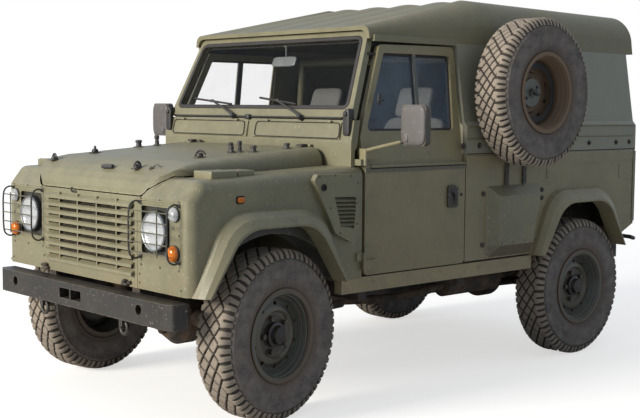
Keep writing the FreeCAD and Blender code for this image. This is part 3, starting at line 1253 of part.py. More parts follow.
seats = []
for side in (1, -1):
    y_span = across("seat_y - seat_width/2", "seat_y + seat_width/2", side)
    cushion = [("seat_front_x - 380", "835 + seat_gap"), ("seat_front_x + 60", "835 + seat_gap"),
               ("seat_front_x + 75", "945"),
               ("seat_front_x - 330", "925"), ("seat_front_x - 450", "1400"),
               ("seat_front_x - 520", "1390"), ("seat_front_x - 420", "900")]
    seats.append(profile(f"seat_{side}", SIDE_VIEW, cushion, y_span, [("25", (2, 4))]))
    seats.append(profile(f"headrest_{side}", SIDE_VIEW,
                         [("seat_front_x - 505", "1380"), ("seat_front_x - 470", "1385"),
                                                       ("seat_front_x - 465", "1570"),
                                                       ("seat_front_x - 545", "1565"),
                                                       ("seat_front_x - 530", "1430")],
                         across("seat_y - 130", "seat_y + 130", side), [("20", (2, 3))]))
keep("seats", join("seats", seats))
HOOP = (("-215", "735", "load_floor_z + 2.5"), ("-215", "650", "1735"))
hoop_parts = []
for side in (1, -1):
    foot, head = [(x, f"{side}*{y}", z) for x, y, z in HOOP]
    hoop_parts += [bar_between(f"hoop_post_{side}", foot, head, "24"), ball(f"hoop_bend_{side}", head, "24"),
                   bar_between(f"hoop_stay_{side}", head,
                               (f"{REAR_AXLE_X} + 225", f"{side}*690", "wheel_box_top_z + 14"), "20")]
hoop_parts.append(bar_between("hoop_top", *[(x, f"{side}*{y}", z) for side,
                                            (x, y, z) in ((1, HOOP[1]), (-1, HOOP[1]))], "24"))
keep("roll_bar", join("roll_bar", hoop_parts))

# ---- powertrain: the engine as a plain block, the gearboxes, the propeller shafts and the exhaust

powertrain = [block("engine", ("engine_front_x - engine_length", "engine_front_x"),
                    ("-engine_half_width", "engine_half_width"),
                    ("engine_bottom_z", "engine_top_z")),
              block("engine_tail", ("engine_front_x - engine_length - 1",
                                    "engine_front_x - engine_length + 120"), ("-190", "20"),
                                    ("500", "engine_bottom_z + 1")),
              block("gearbox", ("260", "engine_front_x - engine_length + 1"), ("-190", "20"), ("500", "588")),
              block("transfer_box", ("20", "262"), ("-170", "diff_y + 50"), ("505", "588")),
              bar_between("front_shaft", ("255", "diff_y", "545"),
                          ("front_axle_x - 259", "diff_y", f"{AXLE_Z} + 24"), "22"),
              bar_between("rear_shaft", ("25", "diff_y", "530"),
                          (f"{REAR_AXLE_X} + 259", "diff_y", f"{AXLE_Z} + 22"), "22")]
EXHAUST = ((900, 200, 622), (900, 200, 470), (820, 250, 420), (330, 290, 405), (100, 400, 405),
           (-60, 520, 440), (-190, 560, 470),
           (-640, 560, 470), (f"{REAR_AXLE_X} + 225", 530, 512),
           (f"{REAR_AXLE_X} - 275", 530, 512), (f"{REAR_AXLE_X} - 475", 560, 486),
           (f"{REAR_AXLE_X} - 645", 600, 480))
for i, (start, end) in enumerate(zip(EXHAUST, EXHAUST[1:])):
    powertrain.append(bar_between(f"exhaust_{i}", start, end, 62 if start[0] == -190 else 24))
    powertrain.append(ball(f"exhaust_bend_{i}", end, "24"))
powertrain.pop()
powertrain.append(block("exhaust_hanger", ("-420", "-395"), ("rail_y + rail_width/2 + seat_gap", "520"),
                        ("462", "484")))
keep("powertrain", join("powertrain", powertrain))

# ---- locker and spare wheel on the left side

LOCKER = (
    # Y, foot Z, head Z, and ahead of the rear axle: rear at the foot and the head, front
    ("side_y + seat_gap", 645, 1040, 487, 409, 864),
    ("side_y + locker_depth", 715, 985, 525, 460, 820),
)
locker_wires = []
for y, foot, head, rear_foot, rear_head, front in LOCKER:
    corners = [point(f"{REAR_AXLE_X} + {x}", y, z)
               for x, z in ((rear_foot, foot), (front, foot), (front, head), (rear_head, head))]
    locker_wires.append(Part.makePolygon(corners + corners[:1]))
keep("side_locker", solid_from("side_locker", Part.makeLoft(locker_wires, True, True)))

SPARE_MID = ("spare_x", "spare_z")
SPARE_SEAT_Y = "spare_y - disc_offset - 8"
spare_base = ("spare_x", "spare_y", "spare_z")
keep("spare_tyre", lean(tyre("spare_tyre"), Vector(0, 0, 1), "180", spare_base))
keep("spare_rim", lean(join("spare_rim", [rim("spare_rim_form")] + wheel_centre("spare_centre", False)),
                       Vector(0, 0, 1), "180", spare_base))
carrier = [block(f"carrier_leg_{i}", (f"spare_x + {x} - 14", f"spare_x + {x} + 14"),
                 ("side_y + 4.3", "side_y + 12.8"), ("1041", "spare_z + 70"))
           for i, x in enumerate((-78, 78))]
carrier += [block("carrier_plate", ("spare_x - 92", "spare_x + 92"), ("side_y + 4.3", "side_y + 15"),
                  ("spare_z - 70", "spare_z + 70")),
            rod("carrier_drum", "y", SPARE_MID, ("side_y + 12", f"{SPARE_SEAT_Y} - seat_gap"),
                "nut_circle_radius + 12"),
            rod("carrier_stud", "y", SPARE_MID, ("side_y + 12", f"{SPARE_SEAT_Y} + 40"), "24"),
            rod("carrier_clamp", "y", SPARE_MID, (f"{SPARE_SEAT_Y} + 8 + seat_gap", f"{SPARE_SEAT_Y} + 22"),
                "nut_circle_radius - 6")]
keep("spare_carrier", join("spare_carrier", carrier))

# ---- checks and files

doc.removeObject(probe.Name)
doc.recompute()
for thing in doc.Objects:
    if "Invalid" in thing.State or "Error" in thing.State:
        raise RuntimeError(f"{thing.Label} has failed: {thing.State}")
os.makedirs("parts", exist_ok=True)
for label, thing in nodes.items():
    shape = thing.Shape
    if shape.isNull() or not shape.isValid() or shape.Volume <= 0:
        raise RuntimeError(f"{label} has no valid solid")
    shape.exportStep(f"parts/{label}.step")
    print(f"{label}: {len(shape.Solids)} solid(s), {shape.Volume / 1e6:.3f} litres")
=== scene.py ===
import math
from itertools import product
import bmesh
import bpy
import numpy as np
from mathutils import Matrix, Vector


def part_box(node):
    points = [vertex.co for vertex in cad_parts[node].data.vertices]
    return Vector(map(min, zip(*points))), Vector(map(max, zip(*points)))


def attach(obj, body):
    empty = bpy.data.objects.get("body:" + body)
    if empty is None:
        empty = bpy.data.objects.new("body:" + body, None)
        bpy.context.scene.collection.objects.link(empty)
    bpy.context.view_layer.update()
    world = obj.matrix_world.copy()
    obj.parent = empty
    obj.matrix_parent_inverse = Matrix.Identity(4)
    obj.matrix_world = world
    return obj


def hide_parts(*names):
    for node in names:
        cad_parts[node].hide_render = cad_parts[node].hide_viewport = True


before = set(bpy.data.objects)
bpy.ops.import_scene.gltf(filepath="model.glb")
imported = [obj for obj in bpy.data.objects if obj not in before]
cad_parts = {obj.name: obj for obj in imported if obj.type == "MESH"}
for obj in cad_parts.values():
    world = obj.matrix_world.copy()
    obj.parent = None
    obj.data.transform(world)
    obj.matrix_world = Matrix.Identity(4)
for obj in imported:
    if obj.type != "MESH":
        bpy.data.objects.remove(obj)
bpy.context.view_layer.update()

# ---- Chassis frame
# Two welded box rails with cross members and outriggers, painted black once and since
# covered with road dust and dried mud. Everything below hangs on it.


class Shader:
    """A material's or the world's node tree; each method adds a node and gives back what comes out."""

    def __init__(self, owner):
        owner.use_nodes = True
        self.owner, self.tree = owner, owner.node_tree

    def add(self, kind, sockets=(), **settings):
        """One node with its settings; sockets maps an input's name or number to what goes in."""
        made = self.tree.nodes.new("ShaderNode" + kind)
        for name, value in settings.items():
            setattr(made, name, value)
        return self.fill(made, dict(sockets))

    def fill(self, made, sockets):
        """Another node's output is linked to its input, and a number or a colour is set on it."""
        for name, value in sockets.items():
            if isinstance(value, bpy.types.NodeSocket):
                self.tree.links.new(value, made.inputs[name])
            elif made.inputs[name].type == "RGBA":
                made.inputs[name].default_value = (*value, 1.0)
            else:
                made.inputs[name].default_value = value
        return made

    def surface(self, sockets):
        """Fills the Principled shader's inputs and gives the finished material."""
        self.fill(self.tree.nodes["Principled BSDF"], sockets)
        return self.owner

    def noise(self, scale, detail=4.0, rough=0.55):
        """Fractal noise at a point of the object, from 0 to 1."""
        sockets = {"Vector": self.place, "Scale": scale, "Detail": detail, "Roughness": rough}
        return self.add("TexNoise", sockets).outputs["Fac"]

    def step(self, value, low, high, to_low=0.0, to_high=1.0):
        """A clamped ramp that takes low to to_low and high to to_high."""
        sockets = {"Value": value, "From Min": low, "From Max": high, "To Min": to_low, "To Max": to_high}
        return self.add("MapRange", sockets).outputs[0]

    def calc(self, how, first, second=0.0):
        """Two numbers through one arithmetic step, kept from 0 to 1 where they are shares."""
        clamped = how in ("ADD", "MULTIPLY")
        return self.add("Math", {0: first, 1: second}, operation=how, use_clamp=clamped).outputs[0]

    def times(self, first, second):
        """The product of two shares."""
        return self.calc("MULTIPLY", first, second)

    def sum_of(self, first, share, second):
        """Two values weighed by a share and by what is left of it."""
        return self.calc("ADD", self.times(first, share), self.times(second, 1 - share))

    def vector(self, how, first, second=(0.0, 0.0, 0.0)):
        """Two vectors through one step; a length or a dot product comes out as a number."""
        made = self.add("VectorMath", {0: first, 1: second}, operation=how)
        return made.outputs["Value" if how in ("LENGTH", "DOT_PRODUCT") else 0]

    def parts(self, vector):
        """A vector's three numbers."""
        return self.add("SeparateXYZ", {0: vector}).outputs

    def mix(self, factor, first, second):
        """first where factor is 0 and second where it is 1; each is a colour or an output."""
        return self.add("Mix", {0: factor, 6: first, 7: second}, data_type="RGBA").outputs[2]

    def bump(self, height, strength, distance):
        """A normal that is bent by the slope of height."""
        return self.add("Bump", {"Height": height, "Strength": strength, "Distance": distance}).outputs[0]

    def within(self, low, high):
        """1 inside a box of the object and 0 outside: the product of a test on each side that isn't None."""
        share = None
        for value, *bounds in zip(self.parts(self.place), low, high):
            for how, bound in zip(("GREATER_THAN", "LESS_THAN"), bounds):
                if bound is not None:
                    test = self.calc(how, value, bound)
                    share = test if share is None else self.times(share, test)
        return share


def new_shader(name):
    """The node tree of a new material, and the place on the object that its patterns read."""
    made = Shader(bpy.data.materials.new(name))
    made.place = made.add("TexCoord").outputs["Object"]
    return made


def scaled(colour, *gains):
    """A colour with each channel times its own gain, or all times the one that is given."""
    return tuple(channel * gain for channel, gain in zip(colour, gains * (3 // len(gains))))


def weathered(name, paint, dust, bare, worn=0.5, dusty=0.5, mud_top=0.75, rough=0.55, mottle=0.16,
              patches=(), rings=()):
    """Paint that has faded in patches, with dust where it faces up, splashes low down, and bare edges.

    The fade is fractal noise at two sizes. Dust is the normal's upward part times noise, mud a ramp in height
    times noise, and an edge is where a normal rounded over 6 mm leaves the flat one. patches are boxes on the
    object in another colour, and rings are spans of radius round an axle, as (middle, axis, low, high, colour).
    """
    s = new_shader(name)
    broad, middle, fine = s.noise(2.3, 3.0), s.noise(13.0, 5.0, 0.62), s.noise(170.0, 3.0, 0.7)
    faded = s.sum_of(broad, 0.6, middle)
    colour = s.mix(s.step(faded, 0.35, 0.65), scaled(paint, 1 - mottle), scaled(paint, 1 + mottle))
    shape = s.add("NewGeometry").outputs
    upward = s.step(s.parts(shape["Normal"])[2], 0.15, 0.95)
    settled = s.times(upward, s.step(middle, 0.36, 0.64, 0.25, 1.0))
    colour = s.mix(s.times(settled, dusty), colour, dust)
    low_down = s.step(s.parts(s.place)[2], mud_top, mud_top - 0.45)
    splash = s.times(low_down, s.step(s.sum_of(middle, 0.7, fine), 0.46, 0.58))
    colour = s.mix(s.times(splash, min(1.0, dusty + 0.35)), colour, scaled(dust, 0.66, 0.58, 0.50))
    for hub, axis, low, high, other in rings:
        reach = s.vector("LENGTH", s.vector("CROSS_PRODUCT", s.vector("SUBTRACT", s.place, hub), axis))
        span = s.times(s.step(reach, low - 0.002, low + 0.002), s.step(reach, high + 0.002, high - 0.002))
        colour = s.mix(s.times(span, 0.8), colour, other)
    for low, high, other in patches:
        colour = s.mix(s.times(s.within(low, high), 0.88), colour, other)
    speck = s.step(s.noise(62.0, 2.0, 0.5), 0.655, 0.70)
    colour = s.mix(s.times(speck, 0.8 * worn), colour, bare)
    rounded = s.add("Bevel", {"Radius": 0.006}, samples=4).outputs[0]
    along = s.vector("DOT_PRODUCT", rounded, shape["True Normal"])
    edge = s.times(s.step(along, 0.985, 0.88), s.step(s.noise(34.0, 4.0), 0.38, 0.56))
    colour = s.mix(s.times(edge, worn), colour, bare)
    return s.surface({"Base Color": colour, "Roughness": s.step(faded, 0.3, 0.7, rough - 0.08, rough + 0.14),
                      "Normal": s.bump(s.sum_of(fine, 0.35, middle), 0.16, 0.004)})


def dress(names, material):
    """Gives CAD nodes that keep their shape their finish."""
    for name in names.split():
        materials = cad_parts[name].data.materials
        materials.clear()
        materials.append(material)


chassis_black = weathered("chassis_black", (0.022, 0.02, 0.018), (0.12, 0.092, 0.065), (0.14, 0.08, 0.045),
                          0.4, 0.7, 0.95, 0.65)
dress("chassis_frame", chassis_black)

# ---- Axles, springs and drive line
# Cast and pressed steel casings with coil springs, under grease, rust and clay. The
# engine is one plain block behind the radiator.

axle_steel = weathered("axle_steel", (0.028, 0.023, 0.019), (0.15, 0.108, 0.072), (0.12, 0.055, 0.027),
                       0.8, 0.85, 1.0, 0.7)
dress("front_axle rear_axle knuckle_left knuckle_right track_rod powertrain", axle_steel)

# ---- Front bumper
# A folded steel channel in black paint gone grey with dust and stone chips. It is
# carried on the rails' ends, with two towing rings below.

dress("front_bumper", weathered("bumper_black", (0.022, 0.019, 0.016), (0.095, 0.075, 0.056),
                                (0.2, 0.17, 0.13), 0.7, 0.26, 0.62, 0.45, 0.3))

# ---- Tyres
# Cross-country tyres with a block tread that wraps onto the shoulders, dusty on the
# blocks and dark in the grooves. The spare is older, with finer blocks and more dust.

REST_TURN = math.radians(9.0)
STEERED, STRAIGHT = (-math.sin(REST_TURN), math.cos(REST_TURN), 0), (0, 1, 0)
TYRE_RADIUS, RIM_RADIUS, TREAD_DEPTH = 0.404, 0.2063, 0.01
WHEELS = (("fl", 1.235, 0.743, STEERED), ("fr", 1.235, -0.743, STEERED),
          ("rl", -1.125, 0.743, STRAIGHT), ("rr", -1.125, -0.743, STRAIGHT))
TYRE_WALL = (
    # radius from the axle and half of the width: bead, flange groove, wall and shoulder
    (RIM_RADIUS, 0.07), (0.208, 0.084), (0.225, 0.088), (0.23, 0.092), (0.2345, 0.096), (0.238, 0.0962),
    (0.24, 0.0945), (0.248, 0.0985), (0.275, 0.103), (0.3125, 0.104), (0.342, 0.1022), (0.3455, 0.1046),
    (0.35, 0.1042), (0.353, 0.1006), (0.364, 0.0985), (0.38, 0.093), (0.393, 0.085), (0.401, 0.076),
    (0.4036, 0.066),
)


def sheet_of(points, closed_u=False, closed_v=False):
    """Corners and faces of a grid of points, shape (m, n, 3); a closed direction joins its last row to its
    first."""
    m, n = points.shape[:2]
    at = np.arange(m * n).reshape(m, n)
    if closed_u:
        at = np.vstack([at, at[:1]])
    if closed_v:
        at = np.hstack([at, at[:, :1]])
    faces = np.stack([at[:-1, :-1], at[1:, :-1], at[1:, 1:], at[:-1, 1:]], -1).reshape(-1, 4)
    return points.reshape(-1, 3), faces


def piece(name, grids, material, body="car_body", crease=35.0, stands_for=()):
    """A mesh object of those grids: doubles merged, so that poles and seams close, and normals turned
    outwards."""
    starts = np.cumsum([0] + [len(corners) for corners, faces in grids])
    corners = np.vstack([corners for corners, faces in grids])
    faces = np.vstack([faces + start for (_, faces), start in zip(grids, starts)])
    mesh = bpy.data.meshes.new(name)
    mesh.from_pydata(corners.astype(np.float32).tolist(), [], faces.tolist())
    work = bmesh.new()
    work.from_mesh(mesh)
    bmesh.ops.remove_doubles(work, verts=work.verts, dist=1e-5)
    bmesh.ops.recalc_face_normals(work, faces=work.faces)
    work.to_mesh(mesh)
    work.free()
    mesh.shade_smooth()
    mesh.set_sharp_from_angle(angle=math.radians(crease))
    mesh.materials.append(material)
    made = bpy.data.objects.new(name, mesh)
    bpy.context.collection.objects.link(made)
    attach(made, body)
    if stands_for:
        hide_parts(*stands_for)
    return made


def unit(vector):
    """The vector at length 1."""
    return np.asarray(vector, float) / np.linalg.norm(vector)


def across_to(axis):
    """Two unit directions square to an axis and to each other."""
    axis = unit(axis)
    helper = np.array([0, 0, 1.0]) if abs(axis[2]) < 0.9 else np.array([1.0, 0, 0])
    first = unit(np.cross(helper, axis))
    return first, np.cross(axis, first)


def round_axis(axis, count):
    """Unit directions evenly round an axis, and their angles."""
    first, second = across_to(axis)
    angle = np.linspace(0, 2 * np.pi, count, endpoint=False)
    return np.cos(angle)[:, None] * first + np.sin(angle)[:, None] * second, angle


def turning(profile, foot, axis, sides=20):
    """A turned piece: each profile pair is (radius, height), and a point is foot + height * axis
    + radius * (cos, sin) across the axis. A profile that starts and ends at radius 0 closes."""
    profile = np.asarray(profile, float)
    ring, _ = round_axis(axis, sides)
    points = np.asarray(foot, float) + profile[:, None, 1:] * unit(axis) + profile[:, None, :1] * ring[None]
    return sheet_of(points, closed_v=True)


def rubber(name, lift):
    """Rubber that is dusty on the blocks and dark in the grooves, by the mesh's own tread attribute.

    tread is 1 on the blocks' tops, 0 in the grooves, and -1 on the side walls. Fine rings on the walls are
    a sine of the UV map's second number. lift is how pale the dust on the blocks is.
    """
    s = new_shader(name)
    tread, radius = (s.add("Attribute", attribute_name=part).outputs["Fac"] for part in ("tread", "radius"))
    middle, fine = s.noise(16.0, 5.0, 0.6), s.noise(210.0, 3.0, 0.7)
    wall = s.mix(s.step(middle, 0.35, 0.65), (0.112, 0.098, 0.091), (0.205, 0.178, 0.157))
    wall = s.mix(s.step(s.noise(5.0, 5.0, 0.7), 0.52, 0.68, 0.0, 0.5), wall, (0.165, 0.13, 0.095))
    wall = s.mix(s.step(s.noise(120.0, 2.0, 0.6), 0.60, 0.66, 0.0, 0.6), wall, (0.26, 0.23, 0.20))
    rust = s.times(s.step(radius, 0.275, 0.215), s.step(middle, 0.35, 0.62, 0.25, 0.85))
    wall = s.mix(rust, wall, (0.105, 0.07, 0.045))
    worn = scaled((0.156, 0.13, 0.104), lift)
    top = s.mix(s.step(middle, 0.3, 0.7), scaled(worn, 0.72), worn)
    top = s.mix(s.step(fine, 0.5, 0.75, 0.0, 0.5), top, (0.05, 0.045, 0.04))
    on_wall = s.step(tread, -0.05, -0.6)
    colour = s.mix(on_wall, s.mix(s.step(tread, 0.3, 0.85), (0.046, 0.039, 0.032), top), wall)
    reach = s.parts(s.add("UVMap", uv_map="around").outputs[0])[1]
    rings = s.times(on_wall, s.calc("SINE", s.calc("MULTIPLY_ADD", reach, 900.0)))
    relief = s.calc("ADD", s.times(fine, 0.6), s.times(rings, 0.5))
    return s.surface({"Base Color": colour, "Roughness": 0.82, "Specular IOR Level": 0.3,
                      "Normal": s.bump(relief, 0.5, 0.002)})


def ridge(value, half, soft):
    """1 within half of 0 and 0 beyond half + soft, with a smooth fall between."""
    share = np.clip((half + soft - np.abs(value)) / soft, 0, 1)
    return share * share * (3 - 2 * share)


def block_tread(turn, across, count):
    """How deep the grooves are, from 0 to 1, for a tread of lozenges.

    turn counts pitches round the tyre and across is the place over the width in metres. Two families of grooves
    lie where turn + 1.5 across / pitch and turn - across / pitch are whole numbers; they cross and leave skewed
    lozenges. Beyond 54 mm notches part the shoulder blocks and run down onto the wall. A groove's slant is the
    cosine by which it is narrower square to itself than along the turn.
    """
    def groove(value, half, soft, slant=1.0):
        """A groove wherever value is a whole number."""
        return ridge((value - np.round(value)) * pitch * slant, half, soft)

    pitch = 2 * np.pi * TYRE_RADIUS / count
    side, shift = np.abs(across), 0.1 * np.sign(across)
    lozenges = np.maximum(groove(turn + 1.5 * across / pitch, 0.0031, 0.0026, 0.55),
                          groove(turn - across / pitch, 0.0028, 0.0026, 0.71)) * (side < 0.062)
    notch = groove(turn + shift, 0.0046 + 0.10 * np.clip(side - 0.066, 0, 0.04), 0.003) * (side > 0.052)
    short = groove(turn + 0.5 + shift, 0.0034, 0.003) * (side > 0.074)
    return np.maximum.reduce([lozenges, notch, short])


def tyre_mesh(name, cad_node, axis, count, around, material, body="car_body"):
    """A tyre swept round its axle: its section is carried round a circle, and the tread's grooves pull the
    surface in by up to 10 mm, fading out down the shoulder."""
    middle = np.mean(np.array([list(corner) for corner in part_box(cad_node)]), 0)
    wall = np.array(TYRE_WALL)
    crown = np.stack([np.full(45, TYRE_RADIUS), np.linspace(0.062, -0.062, 45)], 1)
    inside = np.stack([np.full(3, RIM_RADIUS), np.linspace(-0.035, 0.035, 3)], 1)
    section = np.vstack([wall, crown, wall[::-1] * [1, -1], inside])
    reach = np.concatenate([[0], np.cumsum(np.linalg.norm(np.diff(section, axis=0), axis=1))])
    ring, angle = round_axis(axis, around)
    whole = np.ones((around, len(section)))
    turn = angle[:, None] * count / (2 * np.pi) * whole
    radius, along = section[:, 0] * whole, section[:, 1] * whole
    fade = np.clip((radius - 0.352) / 0.012, 0, 1)
    cut = block_tread(turn, along, count) * fade
    sunk = radius - TREAD_DEPTH * cut * np.clip((radius - 0.385) / 0.012, 0, 1)
    pulled = along * (1 - 0.075 * cut * np.clip((0.4035 - sunk) / 0.02, 0, 1) * (np.abs(along) > 0.07))
    points = middle + sunk[..., None] * ring[:, None] + pulled[..., None] * unit(axis)
    mesh = piece(name, [sheet_of(points, True, True)], material, body, 60.0, (cad_node,)).data
    on_wall = (np.abs(along) > 0.0996) | (fade <= 0.6) | (radius < 0.358)
    for title, values in (("tread", np.where(on_wall, -1.0, 1 - cut)), ("radius", radius)):
        spot = mesh.attributes.new(title, "FLOAT", "POINT")
        spot.data.foreach_set("value", values.astype(np.float32).ravel())
    corner = np.zeros(len(mesh.loops), dtype=np.int32)
    mesh.loops.foreach_get("vertex_index", corner)
    pairs = np.stack([turn.ravel()[corner], (reach * whole).ravel()[corner]], 1)
    mesh.uv_layers.new(name="around").data.foreach_set("uv", pairs.astype(np.float32).ravel())


road_rubber = rubber("road_rubber", 2.05)
for corner_name, _, _, axis in WHEELS:
    tyre_mesh(f"tread_{corner_name}", f"tyre_{corner_name}", axis, 32, 640, road_rubber,
              f"wheel_{corner_name}")
tyre_mesh("tread_spare", "spare_tyre", STRAIGHT, 38, 646, rubber("spare_rubber", 2.45))

# ---- Rims
# Welded steel rims in olive, rusty round the flange and near-black round the hub. The
# spare's is older and rust brown all over.

SPARE = (-0.495, 0.938, 1.55)
RIDGE_RADIUS = 0.0035


def ridged(name, middle, outward, material, body="car_body"):
    """Two pressed ridges round a rim's well, each a small circle carried round the axle, and a near-black flat
    ring behind the wheel's holes, painted shade where the drum behind them lies in shadow."""
    middle, outward = np.array(middle), np.asarray(outward)
    ring, _ = round_axis(outward, 72)
    lap = np.linspace(0, 2 * np.pi, 8, endpoint=False)[None, :, None]
    across, along = RIDGE_RADIUS * np.cos(lap), RIDGE_RADIUS * np.sin(lap)
    ridges = [sheet_of(middle + outward * (offset + along) + (radius + across) * ring[:, None], True, True)
              for offset, radius in ((0.083, 0.194), (0.06, 0.186))]
    shade = [(0.132, 0), (0.166, 0), (0.166, 0.001), (0.132, 0.001), (0.132, 0)]
    piece(f"painted_shade_behind_holes_{name}", [turning(shade, middle + outward * 0.017, outward, 40)],
          chassis_black, body)
    piece(f"rim_ridges_{name}", ridges, material, body)


for corner_name, x, y, axis in WHEELS:
    middle, body = (x, y, TYRE_RADIUS), f"wheel_{corner_name}"
    spans = ((0.0, 0.066, (0.008, 0.007, 0.007)), (0.1, 0.134, (0.125, 0.112, 0.082)),
             (0.152, 0.205, (0.105, 0.112, 0.095)), (0.207, 0.24, (0.125, 0.088, 0.056)))
    rim_paint = weathered(f"rim_paint_{corner_name}", (0.048, 0.046, 0.036), (0.105, 0.084, 0.06),
                          (0.15, 0.085, 0.045), 0.9, 0.35, 0.75, 0.34, 0.35,
                          rings=[(middle, axis, *span) for span in spans])
    dress(body, rim_paint)
    ridged(corner_name, middle, np.array(axis) * math.copysign(1, y), rim_paint, body)
spare_paint = weathered("spare_paint", (0.19, 0.138, 0.084), (0.25, 0.16, 0.095), (0.2, 0.115, 0.062),
                        1.0, 0.5, 1.9, 0.6, 0.5,
                        rings=[(SPARE, STRAIGHT, 0.15, 0.205, (0.15, 0.095, 0.056)),
                               (SPARE, STRAIGHT, 0.207, 0.24, (0.16, 0.1, 0.056))])
dress("spare_rim", spare_paint)
ridged("spare", SPARE, STRAIGHT, spare_paint)

# ---- Body panels
# Aluminium panels in matt olive paint on a pressed steel bulkhead. The doors carry black
# handles, and the mirrors' heads are black plastic, both in one with the door's solid.

OLIVE, DUST, BARE = (0.188, 0.174, 0.105), (0.32, 0.272, 0.185), (0.33, 0.29, 0.2)
# ARCH_MUD_AND_SHADE is the near-black inside the wheel arches: mud and painted shade.
ARCH_MUD_AND_SHADE, PAINTED_SHADE, MUDDY = (0.016, 0.014, 0.012), (0.006, 0.006, 0.006), (0.125, 0.098, 0.066)


def olive_coat(name, worn, dusty, rough, patches=(), gains=(1, 1, 1)):
    """The vehicle's olive, splashed to a height of 0.95 m, on a panel that is paler or darker by gains, which
    paint in how much light falls on that panel.
    """
    return weathered(name, scaled(OLIVE, *gains), DUST, BARE, worn, dusty, 0.95, rough, patches=patches)


def box_pair(low, high, colour):
    """A patch's box on the left and its mirror image on the right; None leaves that side open."""
    right_low, right_high = (None if bound is None else -bound for bound in (high[1], low[1]))
    return [(low, high, colour), ((low[0], right_low, low[2]), (high[0], right_high, high[2]), colour)]


olive = olive_coat("olive_paint", 0.5, 0.3, 0.45)
dress("air_intake bonnet bulkhead windscreen_frame tub_rear rear_door roll_bar", olive)
# The headlamps' pockets in the wings are painted near-black: painted shade in the recesses.
lamp_pocket_shade = box_pair((1.712, 0.452, 0.792), (1.7316, 0.678, 1.018), (0.01, 0.01, 0.009))
# The front wheel arches' insides are near-black: mud and painted shade.
front_arch_mud_and_shade = box_pair((0.7, 0.4, None), (1.605, 0.7895, 0.99), ARCH_MUD_AND_SHADE)
dress("wing_left wing_right", olive_coat("wing_paint_and_painted_shade", 0.8, 0.35, 0.38, lamp_pocket_shade + front_arch_mud_and_shade))
# The rear wheel arches' insides are near-black: mud and painted shade.
rear_arch_mud_and_shade = box_pair((-1.62, 0.54, None), (-0.64, 0.7895, 0.9515), ARCH_MUD_AND_SHADE)
# The tubs' olive is paler by its gains: painted light.
dress("tub_left tub_right", olive_coat("tub_paint_and_painted_light", 0.8, 0.4, 0.38, rear_arch_mud_and_shade, (1.24, 1.16, 1.10)))
dress("side_locker", olive_coat("locker_paint", 0.9, 0.45, 0.34,
                                [((-0.75, 0.8, None), (-0.2, None, 0.713), MUDDY)]))
# The sills' olive is much paler by its gains: painted light.
dress("floor_pan", olive_coat("sill_paint_and_painted_light", 0.6, 0.4, 0.42, (), (1.55, 1.38, 1.28)))
# The radiator and the deep part of each slat's sloped face are near-black: painted shade inside the grille.
painted_shade_behind_slats = [((None, None, None), (1.724, None, None), PAINTED_SHADE),
                ((1.724, -0.283, 0.712), (1.7395, 0.283, 1.018), PAINTED_SHADE)]
dress("front_panel", olive_coat("grille_paint_and_painted_shade", 0.6, 0.3, 0.45, painted_shade_behind_slats))
mirror_heads = box_pair((None, 0.96, 1.262), (0.6, None, None), (0.04, 0.036, 0.034))
dividers = box_pair((0.224, 0.68, 1.352), (0.252, None, 1.733), (0.075, 0.085, 0.092))
# Inside each door handle's recess the paint is near-black: painted shade.
handle_recess_shade = box_pair((-0.012, 0.8215, 0.936), (0.074, None, 1.06), (0.005, 0.005, 0.005))
# A darker band just below each door's waist rail: painted shadow of the rail.
shade_under_rails = box_pair((-0.075, 0.8, 1.14), (0.705, 0.9, 1.1685), (0.105, 0.098, 0.066))
# The doors' olive is paler by its gains: painted light.
dress("door_left door_right", olive_coat("door_paint_and_painted_light", 0.7, 0.35, 0.38,
                                         mirror_heads + dividers + handle_recess_shade + shade_under_rails,
                                         (1.20, 1.12, 1.02)))

# ---- Panel joints and rivets
# Dark sealant shows between panels that are bolted together, and snap rivets hold the
# side panels to their frames.

PROUD, SUNK = 0.8203, 0.8198  # just outside and just inside the face of the body's side


def swept(path, profile, closed=False, up=(0, 0, 1), scale=1.0):
    """A profile of (side, up) pairs carried along a path: each point is the path's point plus the pair in the
    path's own directions, the first of them level with up. An open path's ends draw in to a point, so the piece
    is closed."""
    path, profile = np.asarray(path, float), np.asarray(profile, float)
    tangent = np.roll(path, -1, 0) - np.roll(path, 1, 0) if closed else np.gradient(path, axis=0)
    tangent = tangent / np.linalg.norm(tangent, axis=1, keepdims=True)
    if np.min(np.linalg.norm(np.cross(tangent, up), axis=1)) < 0.05:
        up = (0.31, 0.87, 0.38)
    side = np.cross(up, tangent)
    side = side / np.linalg.norm(side, axis=1, keepdims=True)
    over = np.cross(tangent, side)
    scale = np.broadcast_to(scale, len(path))[:, None, None]
    points = path[:, None] + scale * (profile[:, :1] * side[:, None] + profile[:, 1:] * over[:, None])
    if not closed:
        first, last = (np.broadcast_to(path[end], points[:1].shape) for end in (0, -1))
        points = np.concatenate([first, points, last])
    return sheet_of(points, closed, True)


def circle(radius, sides=8, flat=1.0):
    """A ring of (radius * cos, flat * radius * sin) pairs."""
    angle = np.linspace(0, 2 * np.pi, sides, endpoint=False)
    return np.stack([radius * np.cos(angle), flat * radius * np.sin(angle)], 1)


def tube(path, radius, sides=8):
    """A round rod: circle() carried along a path."""
    return swept(path, circle(radius, sides))


def bar(start, end, radius, sides=8, steps=12):
    """A straight round rod, with its steps evenly spaced from end to end."""
    return tube(np.linspace(start, end, steps), radius, sides)


def bolts(places, axis, radius, height):
    """Low domed heads: a circle's edge that rises, then draws in to its middle."""
    shape = [(0, 0), (radius, 0), (radius, 0.7 * height), (0.75 * radius, height), (0, height)]
    return [turning(shape, place, axis, 8) for place in places]


def side_bolts(places, y, radius, height, sides=(1, -1)):
    """bolts() that look out of the sides, y from the middle, one at each (x, z)."""
    return [head for side in sides
            for head in bolts([(x, side * y, z) for x, z in places], (0, side, 0), radius, height)]


